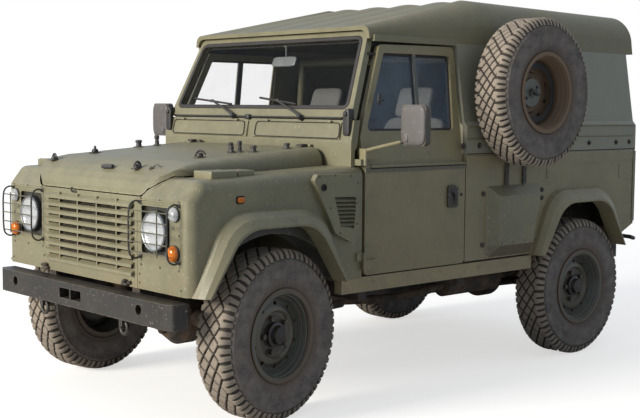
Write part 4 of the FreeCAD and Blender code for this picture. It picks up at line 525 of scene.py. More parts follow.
seam_black = weathered("seam_black", (0.012, 0.011, 0.01), (0.05, 0.045, 0.035), (0.03, 0.03, 0.03), 0.1,
                       0.3, 0.9, 0.8)
piece("tub_seams", [bar((x, side * PROUD, 1.135), (x, side * PROUD, foot), 0.0012, 4, 6)
                    for x, foot in ((-0.788, 1.06), (-1.52, 1.04)) for side in (1, -1)],
      seam_black)
rivet_rows = [*product((-0.802, -0.774), (1.1, 1.07)), *product((-0.7, -0.45, -0.2, 0.1, 0.35, 0.6), (0.6,)),
              *product((-0.83,), (0.72, 0.8, 0.88)), *product((-1.62,), (0.8, 0.88, 0.96))]
piece("tub_rivets", side_bolts(rivet_rows, PROUD, 0.005, 0.002), olive)

# ---- Hard top
# Moulded glass-fibre roof and sides in a greyer olive than the metal, with clamps and
# studs through the flange that sits on the body's capping.

dark_steel = weathered("dark_steel", (0.02, 0.019, 0.018), (0.13, 0.11, 0.085), (0.18, 0.13, 0.09), 0.7,
                       0.4, 0.9, 0.5)
moulded = weathered("moulded_top", (0.17, 0.151, 0.082), (0.29, 0.255, 0.175), (0.23, 0.215, 0.165), 0.2,
                    0.3, 0.9, 0.5)
dress("hardtop_roof", moulded)
# The sides take a paler, greyer copy of the roof's moulded colour: painted light on the sides.
dress("hardtop_left hardtop_right hardtop_rear",
      weathered("moulded_side_painted_lighter", (0.232, 0.226, 0.166), (0.37, 0.33, 0.26), BARE, 0.25, 0.3, 0.5, 0.42, 0.1))
clamp = [(0, 0), (0.017, 0), (0.017, 0.004), (0.009, 0.005), (0.009, 0.014), (0.006, 0.017), (0, 0.017)]
piece("top_studs", [turning(clamp, (x, side * 0.818, 1.262), (0, side, 0), 12)
                    for x in (-0.055, -0.186, -0.927, -1.195, -1.478, -1.62) for side in (1, -1)],
      dark_steel)

# ---- Windscreen
# One pane in a black rubber channel. The frame leans back by 23 degrees on a hinge bar;
# two wipers sweep it from below and a mirror hangs inside.

SCREEN_LEAN = math.radians(23.0)
SLOPE = np.array([-math.sin(SCREEN_LEAN), 0, math.cos(SCREEN_LEAN)])
OUTWARD = np.array([math.cos(SCREEN_LEAN), 0, math.sin(SCREEN_LEAN)])
SCREEN_AXES = ((0, 1, 0), SLOPE, OUTWARD)
SCREEN_FOOT = np.array([0.716, 0.0, 1.4151])


def on_screen(y, height, lift=0.0):
    """A point of the windscreen's plane: foot + height up its slope + y across + lift out of its face."""
    return SCREEN_FOOT + np.array([0, y, 0]) + height * SLOPE + lift * OUTWARD


def curve(points, count):
    """A smooth path through points: cubic runs whose slope at a point goes from its last to its next
    neighbour."""
    points = np.asarray(points, float)
    padded = np.vstack([2 * points[:1] - points[1:2], points, 2 * points[-1:] - points[-2:-1]])
    runs = len(points) - 1
    place = np.linspace(0, runs, count * runs + 1)
    run = np.minimum(place.astype(int), runs - 1)
    t = (place - run)[:, None]
    a, b, c, d = (padded[run + ahead] for ahead in range(4))
    return 0.5 * (2 * b + (c - a) * t + (2 * a - 5 * b + 4 * c - d) * t ** 2 + (3 * b - 3 * c + d - a) * t ** 3)


def softened(corners, radius, arc):
    """A closed run of straight lines with rounded corners: each corner bends by the quadratic
    (1-t)^2 * before + 2t(1-t) * corner + t^2 * after, before and after lying radius away along the lines."""
    corners = np.asarray(corners, float)
    t = np.linspace(0, 1, arc)[:, None]
    ways = [np.roll(corners, shift, 0) - corners for shift in (1, -1)]
    before, after = (corners + radius * way / np.linalg.norm(way, axis=1, keepdims=True) for way in ways)
    bends = (1 - t) ** 2 * before[:, None] + 2 * t * (1 - t) * corners[:, None] + t ** 2 * after[:, None]
    return bends.reshape(-1, 3)


def keeping_sign(value, power):
    """A value whose size is raised to a power, with the sign it had."""
    return np.sign(value) * np.abs(value) ** power


def puffed(middle, half, power, rows, sides, axes=np.eye(3)):
    """A block with rounded edges: a superellipsoid, where each sine or cosine s of the two angles becomes
    sign(s) * |s| ** power. A small power gives a box, 1 an egg."""
    rise = np.linspace(-np.pi / 2, np.pi / 2, rows)[:, None]
    turn = np.linspace(0, 2 * np.pi, sides, endpoint=False)[None, :]
    out = keeping_sign(np.cos(rise), power)
    local = np.stack([out * keeping_sign(np.cos(turn), power) * half[0],
                      out * keeping_sign(np.sin(turn), power) * half[1],
                      keeping_sign(np.sin(rise), power) * half[2] + 0 * turn], -1)
    return sheet_of(np.asarray(middle, float) + local @ np.asarray(axes, float), closed_v=True)


def screen_ring(inset, lift):
    """Rounded corners of the pane's opening, drawn in by inset."""
    foot, top = 0.7146 - inset, 0.6614 - inset
    corners = ((foot, 0.048 + inset), (top, 0.436 - inset), (-top, 0.436 - inset), (-foot, 0.048 + inset))
    return softened([on_screen(y, height, lift) for y, height in corners], 0.035, 8)


def wiper(pivot, near, far):
    """One wiper: an arm that tapers along a curve, its turned spindle, the rubber blade and their clip."""
    middle = ((near[0] + far[0]) / 2, (near[1] + far[1]) / 2)
    arm = [on_screen(*pivot, 0.022), on_screen(pivot[0] - 0.03, pivot[1] + 0.018, 0.028),
           on_screen(pivot[0] - 0.12, pivot[1] + 0.052, 0.026), on_screen(*middle, 0.02)]
    spindle = [(0, -0.02), (0.015, -0.02), (0.015, 0.012), (0.011, 0.02), (0, 0.022)]
    blade = [(-0.006, 0), (-0.002, 0.006), (0.002, 0.006), (0.006, 0), (0.0015, -0.006), (-0.0015, -0.006)]
    return [swept(curve(arm, 6), circle(0.0058, 6, 0.6), up=OUTWARD, scale=np.linspace(1.3, 0.8, 19)),
            turning(spindle, on_screen(*pivot, 0.012), OUTWARD, 12),
            swept(np.linspace(on_screen(*near, 0.013), on_screen(*far, 0.013), 9), blade, up=OUTWARD),
            puffed(on_screen(*middle, 0.019), (0.018, 0.008, 0.006), 0.5, 6, 12, SCREEN_AXES)]


rubber_seal = weathered("rubber_seal", (0.02, 0.017, 0.016), (0.075, 0.062, 0.052), (0.09, 0.075, 0.065),
                        0.2, 0.5, 0.9, 0.6)
piece("windscreen_rubber", [swept(screen_ring(0.003, 0.001), circle(0.011, 10, 0.45), True, OUTWARD),
                            swept(screen_ring(0.003, -0.039), circle(0.01, 8, 0.5), True, OUTWARD)],
      rubber_seal)
plain_black = weathered("plain_black", (0.022, 0.021, 0.02), (0.12, 0.105, 0.085), (0.09, 0.085, 0.075),
                        0.3, 0.35, 0.9, 0.5)
piece("wipers", wiper((-0.152, -0.01), (-0.56, 0.094), (-0.204, 0.061))
      + wiper((0.402, -0.01), (0.025, 0.099), (0.336, 0.062)), plain_black)
piece("screen_hinge_bar", [bar((0.7215, -0.7, 1.4095), (0.7215, 0.7, 1.4095), 0.0042)],
      plain_black)
brackets = [puffed((0.728, -0.029, 1.409), (0.012, 0.018, 0.014), 0.5, 8, 14)]
bracket_bolt = [(0, 0), (0.012, 0), (0.012, 0.01), (0.006, 0.014), (0, 0.014)]
for side in (1, -1):
    brackets += [puffed((0.735, side * 0.752, 1.385), (0.01, 0.022, 0.062), 0.3, 8, 16),
                 puffed((0.722, side * 0.756, 1.432), (0.022, 0.015, 0.026), 0.45, 8, 16),
                 turning(bracket_bolt, (0.742, side * 0.752, 1.43), (1, 0, 0.1), 10)]
piece("screen_brackets", brackets, plain_black)
mirror_grey = weathered("mirror_grey", (0.16, 0.17, 0.165), (0.2, 0.2, 0.19), (0.3, 0.3, 0.3), 0.1, 0.1,
                        0.9, 0.4)
mirror_stem = [on_screen(0.03, 0.437, -0.038), on_screen(0.02, 0.41, -0.06), on_screen(-0.004, 0.372, -0.1)]
mirror_head = puffed(on_screen(-0.008, 0.359, -0.095), (0.097, 0.029, 0.009), 0.35, 10, 28, SCREEN_AXES)
mirror_foot = turning([(0, 0), (0.018, 0), (0.016, 0.006), (0, 0.008)],
                      on_screen(0.03, 0.437, -0.036), -OUTWARD, 12)
piece("inside_mirror", [mirror_head, tube(curve(mirror_stem, 6), 0.004), mirror_foot],
      mirror_grey)

# ---- Scuttle vents
# Two long flaps under the windscreen, each in a shallow pressed frame with a rounded
# edge, hung on small hinges along the top.

VENT_CORNERS = ((0.7475, 0.045, 1.31), (0.7475, 0.705, 1.31), (0.7335, 0.7, 1.386), (0.7335, 0.05, 1.386))
vent_edges = [softened(np.array(VENT_CORNERS) * (1, side, 1), 0.022, 6) for side in (1, -1)]
piece("vent_joints", [swept(edge, circle(0.0022, 6), True, (1, 0, 0)) for edge in vent_edges],
      seam_black)
piece("vent_hinges", [puffed((0.7345, side * y, 1.392), (0.004, 0.016, 0.006), 0.4, 6, 10)
                      for y in (0.13, 0.62) for side in (1, -1)], olive)

# ---- Window glass
# Clear sheet glass with a thin film of dust on its outer face. The film on the doors'
# panes is thicker and tinted pale blue: dust and a painted reflection of the sky.


def pane(name, tint, haze):
    """Clear sheet glass: a straight view through it under a thin film on the face that looks away from the
    cab, haze being the film's share, more or less by noise. A face looks away where its normal leans from the
    middle. The film has the colour tint; the doors' pale blue tint is a painted reflection of the sky."""
    s = new_shader(name)
    shape = s.add("NewGeometry").outputs
    away = s.vector("DOT_PRODUCT", shape["Normal"], s.vector("SUBTRACT", s.place, (0.0, 0.0, 1.5)))
    film = s.times(s.step(away, 0.02, 0.08), s.step(shape["Backfacing"], 0.4, 0.6, 1.0, 0.0))
    uneven = s.step(s.noise(9.0, 5.0, 0.7), 0.35, 0.7, 0.8 * haze, 1.25 * haze)
    return s.surface({"Base Color": tint, "Roughness": 0.05,
                      "Alpha": s.calc("MAXIMUM", s.times(film, uneven), 0.02)})


dress("windscreen_glass rear_door_glass", pane("windscreen_clear", (0.04, 0.045, 0.048), 0.1))
dress("door_glass_left door_glass_right", pane("door_pane_painted_sky", (0.155, 0.21, 0.275), 0.42))

# ---- Headlamps and lamps
# Seven-inch headlamps sit in square recesses, painted near-black as shade: a fluted lens in a chromed ring over
# a polished bowl. Beside each stand a clear side lamp and an amber indicator.

NOSE = 1.732
AHEAD, BACK = (1, 0, 0), (-1, 0, 0)


def fluted(name):
    """Clear lamp glass with upright flutes: a sine of y bends its normal and thickens a pale film, a painted
    sheen along the flutes.
    """
    s = new_shader(name)
    flutes = s.step(s.calc("SINE", s.calc("MULTIPLY_ADD", s.parts(s.place)[1], 900.0)), -1.0, 1.0)
    return s.surface({"Base Color": (0.7, 0.72, 0.74), "Roughness": 0.08,
                      "Alpha": s.step(flutes, 0.2, 1.0, 0.22, 0.62),
                      "Normal": s.bump(flutes, 0.3, 0.002)})


def plain(name, colour, rough, metal=0.0, through=0.0, glow=0.0):
    """A clean material of one colour, with a slow fractal change of its roughness."""
    s = new_shader(name)
    uneven = s.step(s.noise(26.0), 0.3, 0.7, max(0.02, rough - 0.06), rough + 0.08)
    return s.surface({"Base Color": colour, "Roughness": uneven, "Metallic": metal,
                      "Transmission Weight": through, "Emission Color": colour, "Emission Strength": glow})


lamp_glass = fluted("lamp_glass")
chrome = plain("lamp_ring", (0.34, 0.35, 0.35), 0.28, 1.0)
amber = plain("amber_lens", (0.66, 0.175, 0.006), 0.14, through=0.2)
bulb_white = plain("bulb", (0.8, 0.8, 0.78), 0.2)
black_plastic_and_shade = plain("black_plastic_and_shade", (0.018, 0.017, 0.015), 0.6)
LAMP_PIECES = {
    "lamp_bowls": (plain("polished_bowl", (0.58, 0.59, 0.6), 0.14, 1.0), "lamp_plastic"),
    "headlamp_lenses": (lamp_glass, "glass"),
    "headlamp_rings": (chrome, "bare_metal"),
    "lamp_bases": (black_plastic_and_shade, "black_plastic"),
    "lamp_bulbs": (bulb_white, "lamp_plastic"),
    "side_lamp_lenses": (lamp_glass, "glass"),
    "amber_lenses": (amber, "lamp_plastic"),
    # The red lenses glow faintly though the lamps are off: painted light.
    "red_lenses": (plain("red_lens", (0.62, 0.016, 0.012), 0.16, through=0.3, glow=0.05), "lamp_plastic"),
}
turned = {name: [] for name in LAMP_PIECES}


def turn_lamp(name, profile, foot, axis, sides):
    """One more turned part for a lamp piece."""
    turned[name].append(turning(profile, foot, axis, sides))


for side in (1, -1):
    foot = (NOSE, side * 0.565, 0.905)
    tray = [(0, -0.0175), (0.094, -0.0175), (0.094, 0.004), (0.088, 0.004), (0.088, -0.014), (0, -0.014)]
    turn_lamp("lamp_bases", tray, foot, AHEAD, 40)
    bowl = [(radius, -0.0125 + 2.4 * radius ** 2) for radius in np.linspace(0, 0.082, 9)]
    turn_lamp("lamp_bowls", bowl + [(0.085, 0.006), (0.085, -0.0135), (0, -0.0135)], foot, AHEAD, 40)
    radii = np.linspace(0, 0.0835, 9)
    outer, inner = ([(radius, crown - 1.3 * radius ** 2) for radius in run]
                    for run, crown in ((radii, 0.021), (radii[::-1], 0.018)))
    turn_lamp("headlamp_lenses", outer + inner, foot, AHEAD, 40)
    bezel = [(0.083, 0.004), (0.092, 0.004), (0.0925, 0.012), (0.089, 0.0165), (0.083, 0.0145), (0.083, 0.004)]
    turn_lamp("headlamp_rings", bezel, foot, AHEAD, 40)
    bulb = [(0, -0.012), (0.012, -0.012), (0.012, 0.002), (0.006, 0.009), (0, 0.01)]
    turn_lamp("lamp_bulbs", bulb, foot, AHEAD, 14)
    for name, y, height, radius, depth in (("side_lamp_lenses", 0.72, 0.991, 0.032, 0.034),
                                           ("amber_lenses", 0.714, 0.818, 0.036, 0.036)):
        foot = (NOSE, side * y, height)
        rim = radius + 0.002
        base = [(0, 0.0003), (rim, 0.0003), (rim, 0.008), (radius - 0.002, 0.01), (0, 0.01)]
        turn_lamp("lamp_bases", base, foot, AHEAD, 24)
        dome = [(radius * math.cos(turn), 0.01 + (depth - 0.01) * math.sin(turn))
                for turn in np.linspace(0, math.pi / 2, 8)[:-1]]
        turn_lamp(name, [(0, 0.0101)] + dome + [(0, depth)], foot, AHEAD, 24)
    turn_lamp("lamp_bulbs", [(0, 0.0102), (0.01, 0.0102), (0.01, 0.018), (0, 0.024)],
              (NOSE, side * 0.72, 0.991), AHEAD, 12)
    for name, height in (("red_lenses", 0.985), ("amber_lenses", 1.075)):
        foot = (-1.695, side * 0.752, height)
        turn_lamp("lamp_bases", [(0, 0.0003), (0.038, 0.0003), (0.038, 0.012), (0, 0.012)], foot, BACK, 28)
        lens = [(0, 0.0121), (0.037, 0.0121), (0.037, 0.024), (0.034, 0.03), (0.024, 0.0325), (0.01, 0.034),
                (0, 0.034)]
        turn_lamp(name, lens, foot, BACK, 28)
for name, (material, slot) in LAMP_PIECES.items():
    piece(name, turned[name], material, stands_for=("lamps",) if name == "lamp_bowls" else ())

# ---- Lamp guards
# A cage of round wire over each side's lamps: two hoops that bend back to the panel,
# five level wires between them and one upright.

HOOP = ((0.001, 1.03), (0.03, 1.036), (0.058, 1.016), (0.065, 0.965), (0.065, 0.905), (0.065, 0.845),
        (0.058, 0.796), (0.03, 0.776), (0.001, 0.782))
guard_paint = weathered("guard_paint", (0.1, 0.092, 0.056), (0.26, 0.22, 0.15), (0.05, 0.045, 0.035), 0.7,
                        0.4, 0.9, 0.5)
hoops, wires = [], []
for side in (1, -1):
    for y in (0.446, 0.746):
        hoops.append(tube(curve([(NOSE + reach, side * y, z) for reach, z in HOOP], 5), 0.0045))
        hoops += [puffed((NOSE + 0.003, side * y, z), (0.004, 0.012, 0.009), 0.5, 6, 12)
                  for z in (1.03, 0.782)]
    for z in (0.812, 0.858, 0.905, 0.952, 0.998):
        x = NOSE + 0.067 - 9 * abs(z - 0.905) ** 3
        wires.append(bar((x, side * 0.44, z), (x, side * 0.75, z), 0.0032, 6, 8))
    wires.append(bar((NOSE + 0.064, side * 0.668, 0.8), (NOSE + 0.064, side * 0.668, 1.01), 0.0032, 6, 8))
piece("guard_hoops", hoops, plain_black, stands_for=("lamp_guards",))
piece("guard_wires", wires, guard_paint)

# ---- Front panel trim
# Pressed ridges above and below the lamps, bolts along the panels' edges, a hook over
# the grille, two lugs on the apron, and a near-black sheet behind the slats that stands for shade.


def slab(x, y, z):
    """A closed sheet-metal cover between (low, high) pairs, its edges rounded as puffed() rounds them."""
    low, high = np.transpose([x, y, z])
    return puffed((low + high) / 2, (high - low) / 2, 0.12, 12, 32)


HEAD_PLACES = [*product((0.45, 0.6, 0.745), (1.0475, 0.745)), (0.436, 0.66), (0.76, 0.66), (0.436, 0.7),
               (0.7, 0.93), (0.745, 0.9)]
HOOK_PATH = [(1.736, -0.134, 1.044), (1.75, -0.132, 1.05), (1.752, -0.13, 1.06), (1.744, -0.128, 1.064)]
hooks = [puffed((1.735, -0.13, 1.043), (0.005, 0.022, 0.006), 0.5, 6, 14), tube(curve(HOOK_PATH, 5), 0.0035)]
for side, y in ((1, 0.327), (-1, 0.405)):
    hooks += [puffed((1.733, side * y, 0.641), (0.02, 0.026, 0.007), 0.4, 6, 16),
              turning([(0, 0), (0.013, 0), (0.013, 0.012), (0.008, 0.016), (0, 0.016)],
                      (1.742, side * y, 0.647), (0.2, 0, 1), 12),
              turning([(0, 0), (0.011, 0), (0.011, 0.01), (0, 0.013)], (1.738, side * (y + 0.034), 0.647),
                      (0.2, 0, 1), 12)]
piece("panel_ridges", [bar((NOSE + 0.0005, side * 0.435, z), (NOSE + 0.0005, side * 0.752, z), 0.0032, 8, 10)
                       for z in (1.028, 1.041, 0.772, 0.758) for side in (1, -1)],
      olive, crease=60)
# A near-black sheet behind the slats: painted shade inside the grille.
piece("painted_shade_behind_grille", [slab((1.7215, 1.7225), (-0.283, 0.283), (0.705, 1.018))],
      plain("painted_shade_black", (0.0015, 0.0015, 0.0015), 0.9))
heads = [(NOSE - 0.0003, side * y, z) for y, z in HEAD_PLACES for side in (1, -1)]
piece("panel_bolts", bolts(heads, AHEAD, 0.0055, 0.003), dark_steel)
piece("panel_hooks", hooks, dark_steel)

# ---- Bonnet fittings
# Cleats and capped studs that once held a camouflage net and a spare wheel. They have
# lost most of their paint.

BEND, BEND_HEIGHT = 1.435, 1.212  # where the bonnet turns down to its front edge


def bonnet_top(x):
    """The bonnet's height along the car: a slight fall to its bend, and a quarter of an ellipse beyond."""
    if x < BEND:
        return BEND_HEIGHT + (BEND - x) * 0.0746
    return BEND_HEIGHT - 0.131 * (1 - math.sqrt(max(0.0, 1 - ((x - BEND) / 0.292) ** 2)))


def stud(x, y, height, radius=0.011):
    """A capped stud on a round foot, its side turned with a waist."""
    profile = [(0, 0), (1.9 * radius, 0), (1.9 * radius, 0.004), (radius, 0.006),
               (0.85 * radius, 0.6 * height), (1.15 * radius, 0.66 * height),
               (1.15 * radius, 0.92 * height), (0.8 * radius, height), (0, height)]
    return turning(profile, (x, y, bonnet_top(x) - 0.001), (0.05, 0, 1), 14)


def cleat(x, y, facing):
    """A rope cleat: a flat foot, a rounded boss, and a horn that curls over it."""
    z = bonnet_top(x)
    horn = [(x + math.cos(facing) * reach, y + math.sin(facing) * reach, z + 0.008 + rise)
            for reach, rise in ((-0.024, 0.0), (-0.016, 0.018), (0.0, 0.026), (0.018, 0.02), (0.03, 0.006))]
    return [puffed((x, y, z + 0.002), (0.03, 0.02, 0.004), 0.4, 6, 16),
            puffed((x, y, z + 0.01), (0.017, 0.015, 0.014), 0.7, 8, 16),
            swept(curve(horn, 5), circle(0.0065), scale=np.linspace(1.2, 0.6, 21))]


def on_bonnet(x, y, lift):
    """A point that stands lift above the bonnet's top."""
    return x, y, bonnet_top(x) + lift


STUDS = ((1.1, 0.3, 0.05, 0.012), (1.13, 0.345, 0.036), (1.09, 0.36, 0.058, 0.01), (1.06, 0.43, 0.034, 0.014),
         (0.87, 0.46, 0.03, 0.014), (1.1, -0.52, 0.04, 0.016), (0.98, -0.52, 0.056, 0.012),
         (1.0, -0.49, 0.03, 0.01), (1.64, 0.4, 0.012, 0.007))
fitting_dark = weathered("fitting_dark", (0.026, 0.025, 0.024), (0.14, 0.12, 0.09), (0.16, 0.13, 0.1), 0.7,
                         0.4, 0.9, 0.45)
fittings = cleat(1.65, 0.3, 0.4) + cleat(1.35, 0.38, 2.2) + cleat(1.42, -0.45, 1.0) + cleat(1.63, -0.5, 1.4)
fittings += [stud(*place) for place in STUDS]
fittings.append(tube(curve([on_bonnet(1.64, 0.405, 0.004), on_bonnet(1.63, 0.43, 0.016),
                            (1.622, 0.45, bonnet_top(1.62) + 0.003)], 6), 0.0035))
fittings.append(swept(np.linspace(on_bonnet(1.668, 0.025, 0.011), on_bonnet(1.664, 0.11, 0.012), 8),
                      circle(0.0125, 12), scale=[0.8, 0.95, 1, 1, 1, 1, 0.95, 0.8]))
piece("bonnet_fittings", fittings, fitting_dark, "bonnet")
straps = [strap for side in (1, -1) for strap in
          (puffed((0.775, side * 0.47, 1.27), (0.024, 0.02, 0.008), 0.5, 6, 16),
           puffed((0.76, side * 0.425, 1.266), (0.012, 0.02, 0.006), 0.5, 6, 12))]
piece("bonnet_hinge_straps", straps, fitting_dark, "bonnet")

# ---- Bonnet seats
# An upright flange on each wing follows the bonnet's front corner from below, so the
# engine bay doesn't show where the bonnet's edge bends down.

CORNER_EDGE = ((1.6, 0.5977, 1.15), (1.62, 0.5897, 1.15), (1.64, 0.5789, 1.1496), (1.66, 0.5644, 1.1388),
               (1.68, 0.5452, 1.1271), (1.7, 0.5182, 1.1094), (1.71, 0.4992, 1.0985), (1.72, 0.4723, 1.0809),
               (1.7245, 0.4491, 1.064))


def flange(side):
    """A wall of 2 mm under the bonnet's corner edge, from a level foot to 3 mm below it."""
    rows = np.array([[(x - 0.006 + wall, side * (y - 0.004 + wall), z)
                      for wall, z in ((0, 1.05), (0.002, 1.05), (0.002, top - 0.003), (0, top - 0.003))]
                     for x, y, top in CORNER_EDGE])
    first, last = (np.broadcast_to(rows[end].mean(0), (1, 4, 3)) for end in (0, -1))
    return sheet_of(np.concatenate([first, rows, last]), closed_v=True)


piece("bonnet_seats", [flange(side) for side in (1, -1)], olive, crease=50)

# ---- Wing tops
# Low sheet-metal covers on the wings' tops with bolts round them, and an amber repeater
# on a black base on each side.


def wing_top(x):
    """The height of a wing's top along the car, which falls evenly to the front."""
    return 1.14 + (1.662 - x) * 0.0371


covers, cover_bolts = [], []
for side in (1, -1):
    for rear, front, near, far, height in ((1.43, 1.58, 0.64, 0.775, 0.028),
                                           (1.325, 1.424, 0.655, 0.768, 0.023)):
        top = wing_top(rear) + height
        covers.append(slab((rear, front), sorted((side * near, side * far)), (wing_top(front) - 0.004, top)))
        cover_bolts += bolts([(rear + 0.015, side * (near + 0.015), top - 0.0012),
                              (front - 0.015, side * (far - 0.015), top - 0.0012)], (0, 0, 1), 0.006, 0.003)
    cover_bolts += bolts([(x, side * 0.632, wing_top(x) - 0.0003) for x in np.arange(0.78, 1.66, 0.11)],
                         (0, 0, 1), 0.005, 0.0025)
piece("wing_covers", covers, olive, crease=50)
piece("wing_bolts", cover_bolts, olive)
bases = [puffed((1.452, side * 0.8205, 1.048), (0.024, 0.004, 0.018), 0.35, 8, 24) for side in (1, -1)]
domes = [puffed((1.452, side * 0.8265, 1.048), (0.019, 0.007, 0.013), 0.5, 10, 24) for side in (1, -1)]
piece("repeater_bases", bases, seam_black)
piece("repeaters", domes, amber)

# ---- Air intake
# A raised box behind the left wheel arch, with seven slats in its louvre, a rubber grommet above
# them and screws round the edge. Behind the slats a near-black sheet stands for shade.


def slat(row):
    """One leaning blade of the louvre; the opening's ends lean, so each row is longer than the one below."""
    z = 0.903 + 0.0192 * row
    rear, front = 0.772 - 0.0092 * row / 6, 0.858 + 0.304 * (z - 0.892)
    return swept(np.linspace((rear + 0.002, 0.843, z), (front - 0.003, 0.843, z + 0.004), 6),
                 [(-0.009, 0.006), (0.008, -0.006), (0.0065, -0.0085), (-0.0105, 0.0035)])


piece("intake_slats", [slat(row) for row in range(7)], olive, crease=20)
# A near-black sheet behind the louvre: painted shade inside the intake.
piece("painted_shade_in_intake", [slab((0.762, 0.895), (0.8338, 0.8346), (0.895, 1.032))], black_plastic_and_shade)
screw_places = ((0.752, 0.9), (0.752, 1.0), (0.752, 1.1), (0.8, 1.135), (0.9, 1.14), (1.0, 1.137),
                (0.93, 0.985), (0.865, 0.862))
piece("intake_screws", side_bolts(screw_places, 0.8497, 0.005, 0.0025, (1,)), dark_steel)
grommet = [(0, 0), (0.016, 0), (0.017, 0.005), (0.01, 0.007), (0.009, 0.002), (0, 0.002)]
piece("intake_grommet", [turning(grommet, (0.975, 0.8498, 1.085), (0, 1, 0))], seam_black)

# ---- Door trim
# Black rubber round the door's glass, a dark strip behind the divider of its two panes,
# a catch, a lever in the handle's recess, and pop rivets down the door's edges.

DOOR_LEAN = math.radians(7.3)
DOORS = (("left", 1), ("right", -1))


def outline_of(name, outward):
    """The edge of a flat convex node on its outer face: its corners sorted by their angle round the middle."""
    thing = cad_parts[name]
    corners = np.array([thing.matrix_world @ corner.co for corner in thing.data.vertices])
    reach = corners @ unit(outward)
    corners = np.unique(np.round(corners[reach > reach.max() - 0.002], 4), axis=0)
    first, second = across_to(outward)
    around = corners - corners.mean(0)
    return corners[np.argsort(np.arctan2(around @ second, around @ first))]


def evened(path):
    """The same closed path as 80 evenly spaced points, by linear steps along its length."""
    ring = np.vstack([path, path[:1]])
    length = np.concatenate([[0], np.cumsum(np.linalg.norm(np.diff(ring, axis=0), axis=1))])
    at = np.linspace(0, length[-1], 80, endpoint=False)
    return np.stack([np.interp(at, length, ring[:, axis]) for axis in range(3)], 1)


for name, side in DOORS:
    outward = np.array([0, side * math.cos(DOOR_LEAN), math.sin(DOOR_LEAN)])
    edge = outline_of(f"door_glass_{name}", outward)
    middle, ring = edge.mean(0), evened(edge)
    (rear, _, foot), (front, _, top) = edge.min(0), edge.max(0)

    def on_pane(x, z, lift):
        """A point of this door's glass, which leans in with its height, and lift out of its face."""
        return np.array([x, middle[1] - side * (z - middle[2]) * math.tan(DOOR_LEAN), z]) + lift * outward

    strips = [([on_pane(0.238, z, -0.009) for z in np.linspace(foot + 0.002, top - 0.002, 8)],
               circle(0.014, 8, 0.25))]
    strips += [([on_pane(x, z, 0.002) for x in np.linspace(rear + 0.02, front - 0.06, 8)],
                circle(0.007, 8, 0.5)) for z in (foot + 0.006, top - 0.006)]
    piece(f"window_rubber_{name}", [swept(ring + 0.0015 * outward, circle(0.009, 8, 0.5), True, outward),
                                    swept(ring - 0.0075 * outward, circle(0.008, 8, 0.5), True, outward)]
          + [swept(path, profile, up=outward) for path, profile in strips],
          rubber_seal, f"door_{name}")
    piece(f"window_catch_{name}", [puffed((0.548, side * 0.7885, 1.506), (0.013, 0.007, 0.03), 0.8, 10, 20),
                                   puffed((0.536, side * 0.796, 1.5), (0.016, 0.005, 0.007), 0.7, 8, 14)],
          plain_black, f"door_{name}")
    lever = [(0.058, side * 0.829, 1.036), (0.03, side * 0.838, 1.02), (0.018, side * 0.838, 0.99),
             (0.026, side * 0.832, 0.962)]
    recess = [(0.068, side * 0.8285, 0.942), (0.068, side * 0.8285, 1.054), (-0.006, side * 0.8285, 1.054),
              (-0.006, side * 0.8285, 0.942)]
    lock = [(0, 0), (0.009, 0), (0.009, 0.003), (0, 0.004)]
    piece(f"door_handle_{name}", [swept(curve(lever, 6), circle(0.0085, 10, 0.6), up=(0, side, 0)),
                                  swept(softened(recess, 0.022, 6), circle(0.004), True, (0, side, 0)),
                                  turning(lock, (-0.045, side * PROUD, 1.005), (0, side, 0), 14)],
          plain_black, f"door_{name}")
    edge_rivets = [*product(np.arange(-0.02, 0.66, 0.16), (0.668,)), *product((-0.055,), (0.72, 0.84, 1.1)),
                   *product((0.652,), (0.78, 0.9, 1.02, 1.12))]
    piece(f"door_rivets_{name}", side_bolts(edge_rivets, SUNK, 0.0048, 0.002, (side,)), olive,
          f"door_{name}")

# ---- Door rails
# A half-round rail runs along each door's waist, over the dark joint where the door's
# upper half is bolted on.


def lengthwise(front, rear, y, z, profile, steps=24):
    """A straight moulding along the car: its profile carried from front to rear at one width and height."""
    return swept(np.linspace((front, y, z), (rear, y, z), steps), profile)


for name, side in DOORS:
    rail = lengthwise(0.64, -0.066, side * 0.8235, 1.1725, circle(0.0065, 10))
    joint = lengthwise(0.64, -0.066, side * 0.8215, 1.163, circle(0.003, 6))
    piece(f"door_rail_{name}", [rail], olive, f"door_{name}")
    piece(f"door_joint_{name}", [joint], seam_black, f"door_{name}")

# ---- Mirror shells
# The backs of both mirrors' heads swell out in grey-brown plastic, dusty and chipped,
# with a knuckle where the arm holds the head.

shell_plastic = weathered("mirror_shell", (0.098, 0.088, 0.084), (0.2, 0.18, 0.155), (0.3, 0.27, 0.23), 0.7,
                          0.3, 0.6, 0.5)
for name, side in DOORS:
    piece(f"mirror_shell_{name}", [puffed((0.58, side * 1.0565, 1.38), (0.017, 0.0785, 0.098), 0.42, 16, 40),
                                   puffed((0.593, side * 1.02, 1.315), (0.012, 0.016, 0.022), 0.7, 8, 16)],
          shell_plastic, f"door_{name}")

# ---- Gutters and hard top trim
# A folded gutter over each door, a ledge along the foot of the sides, and dark joints
# where the mouldings meet.

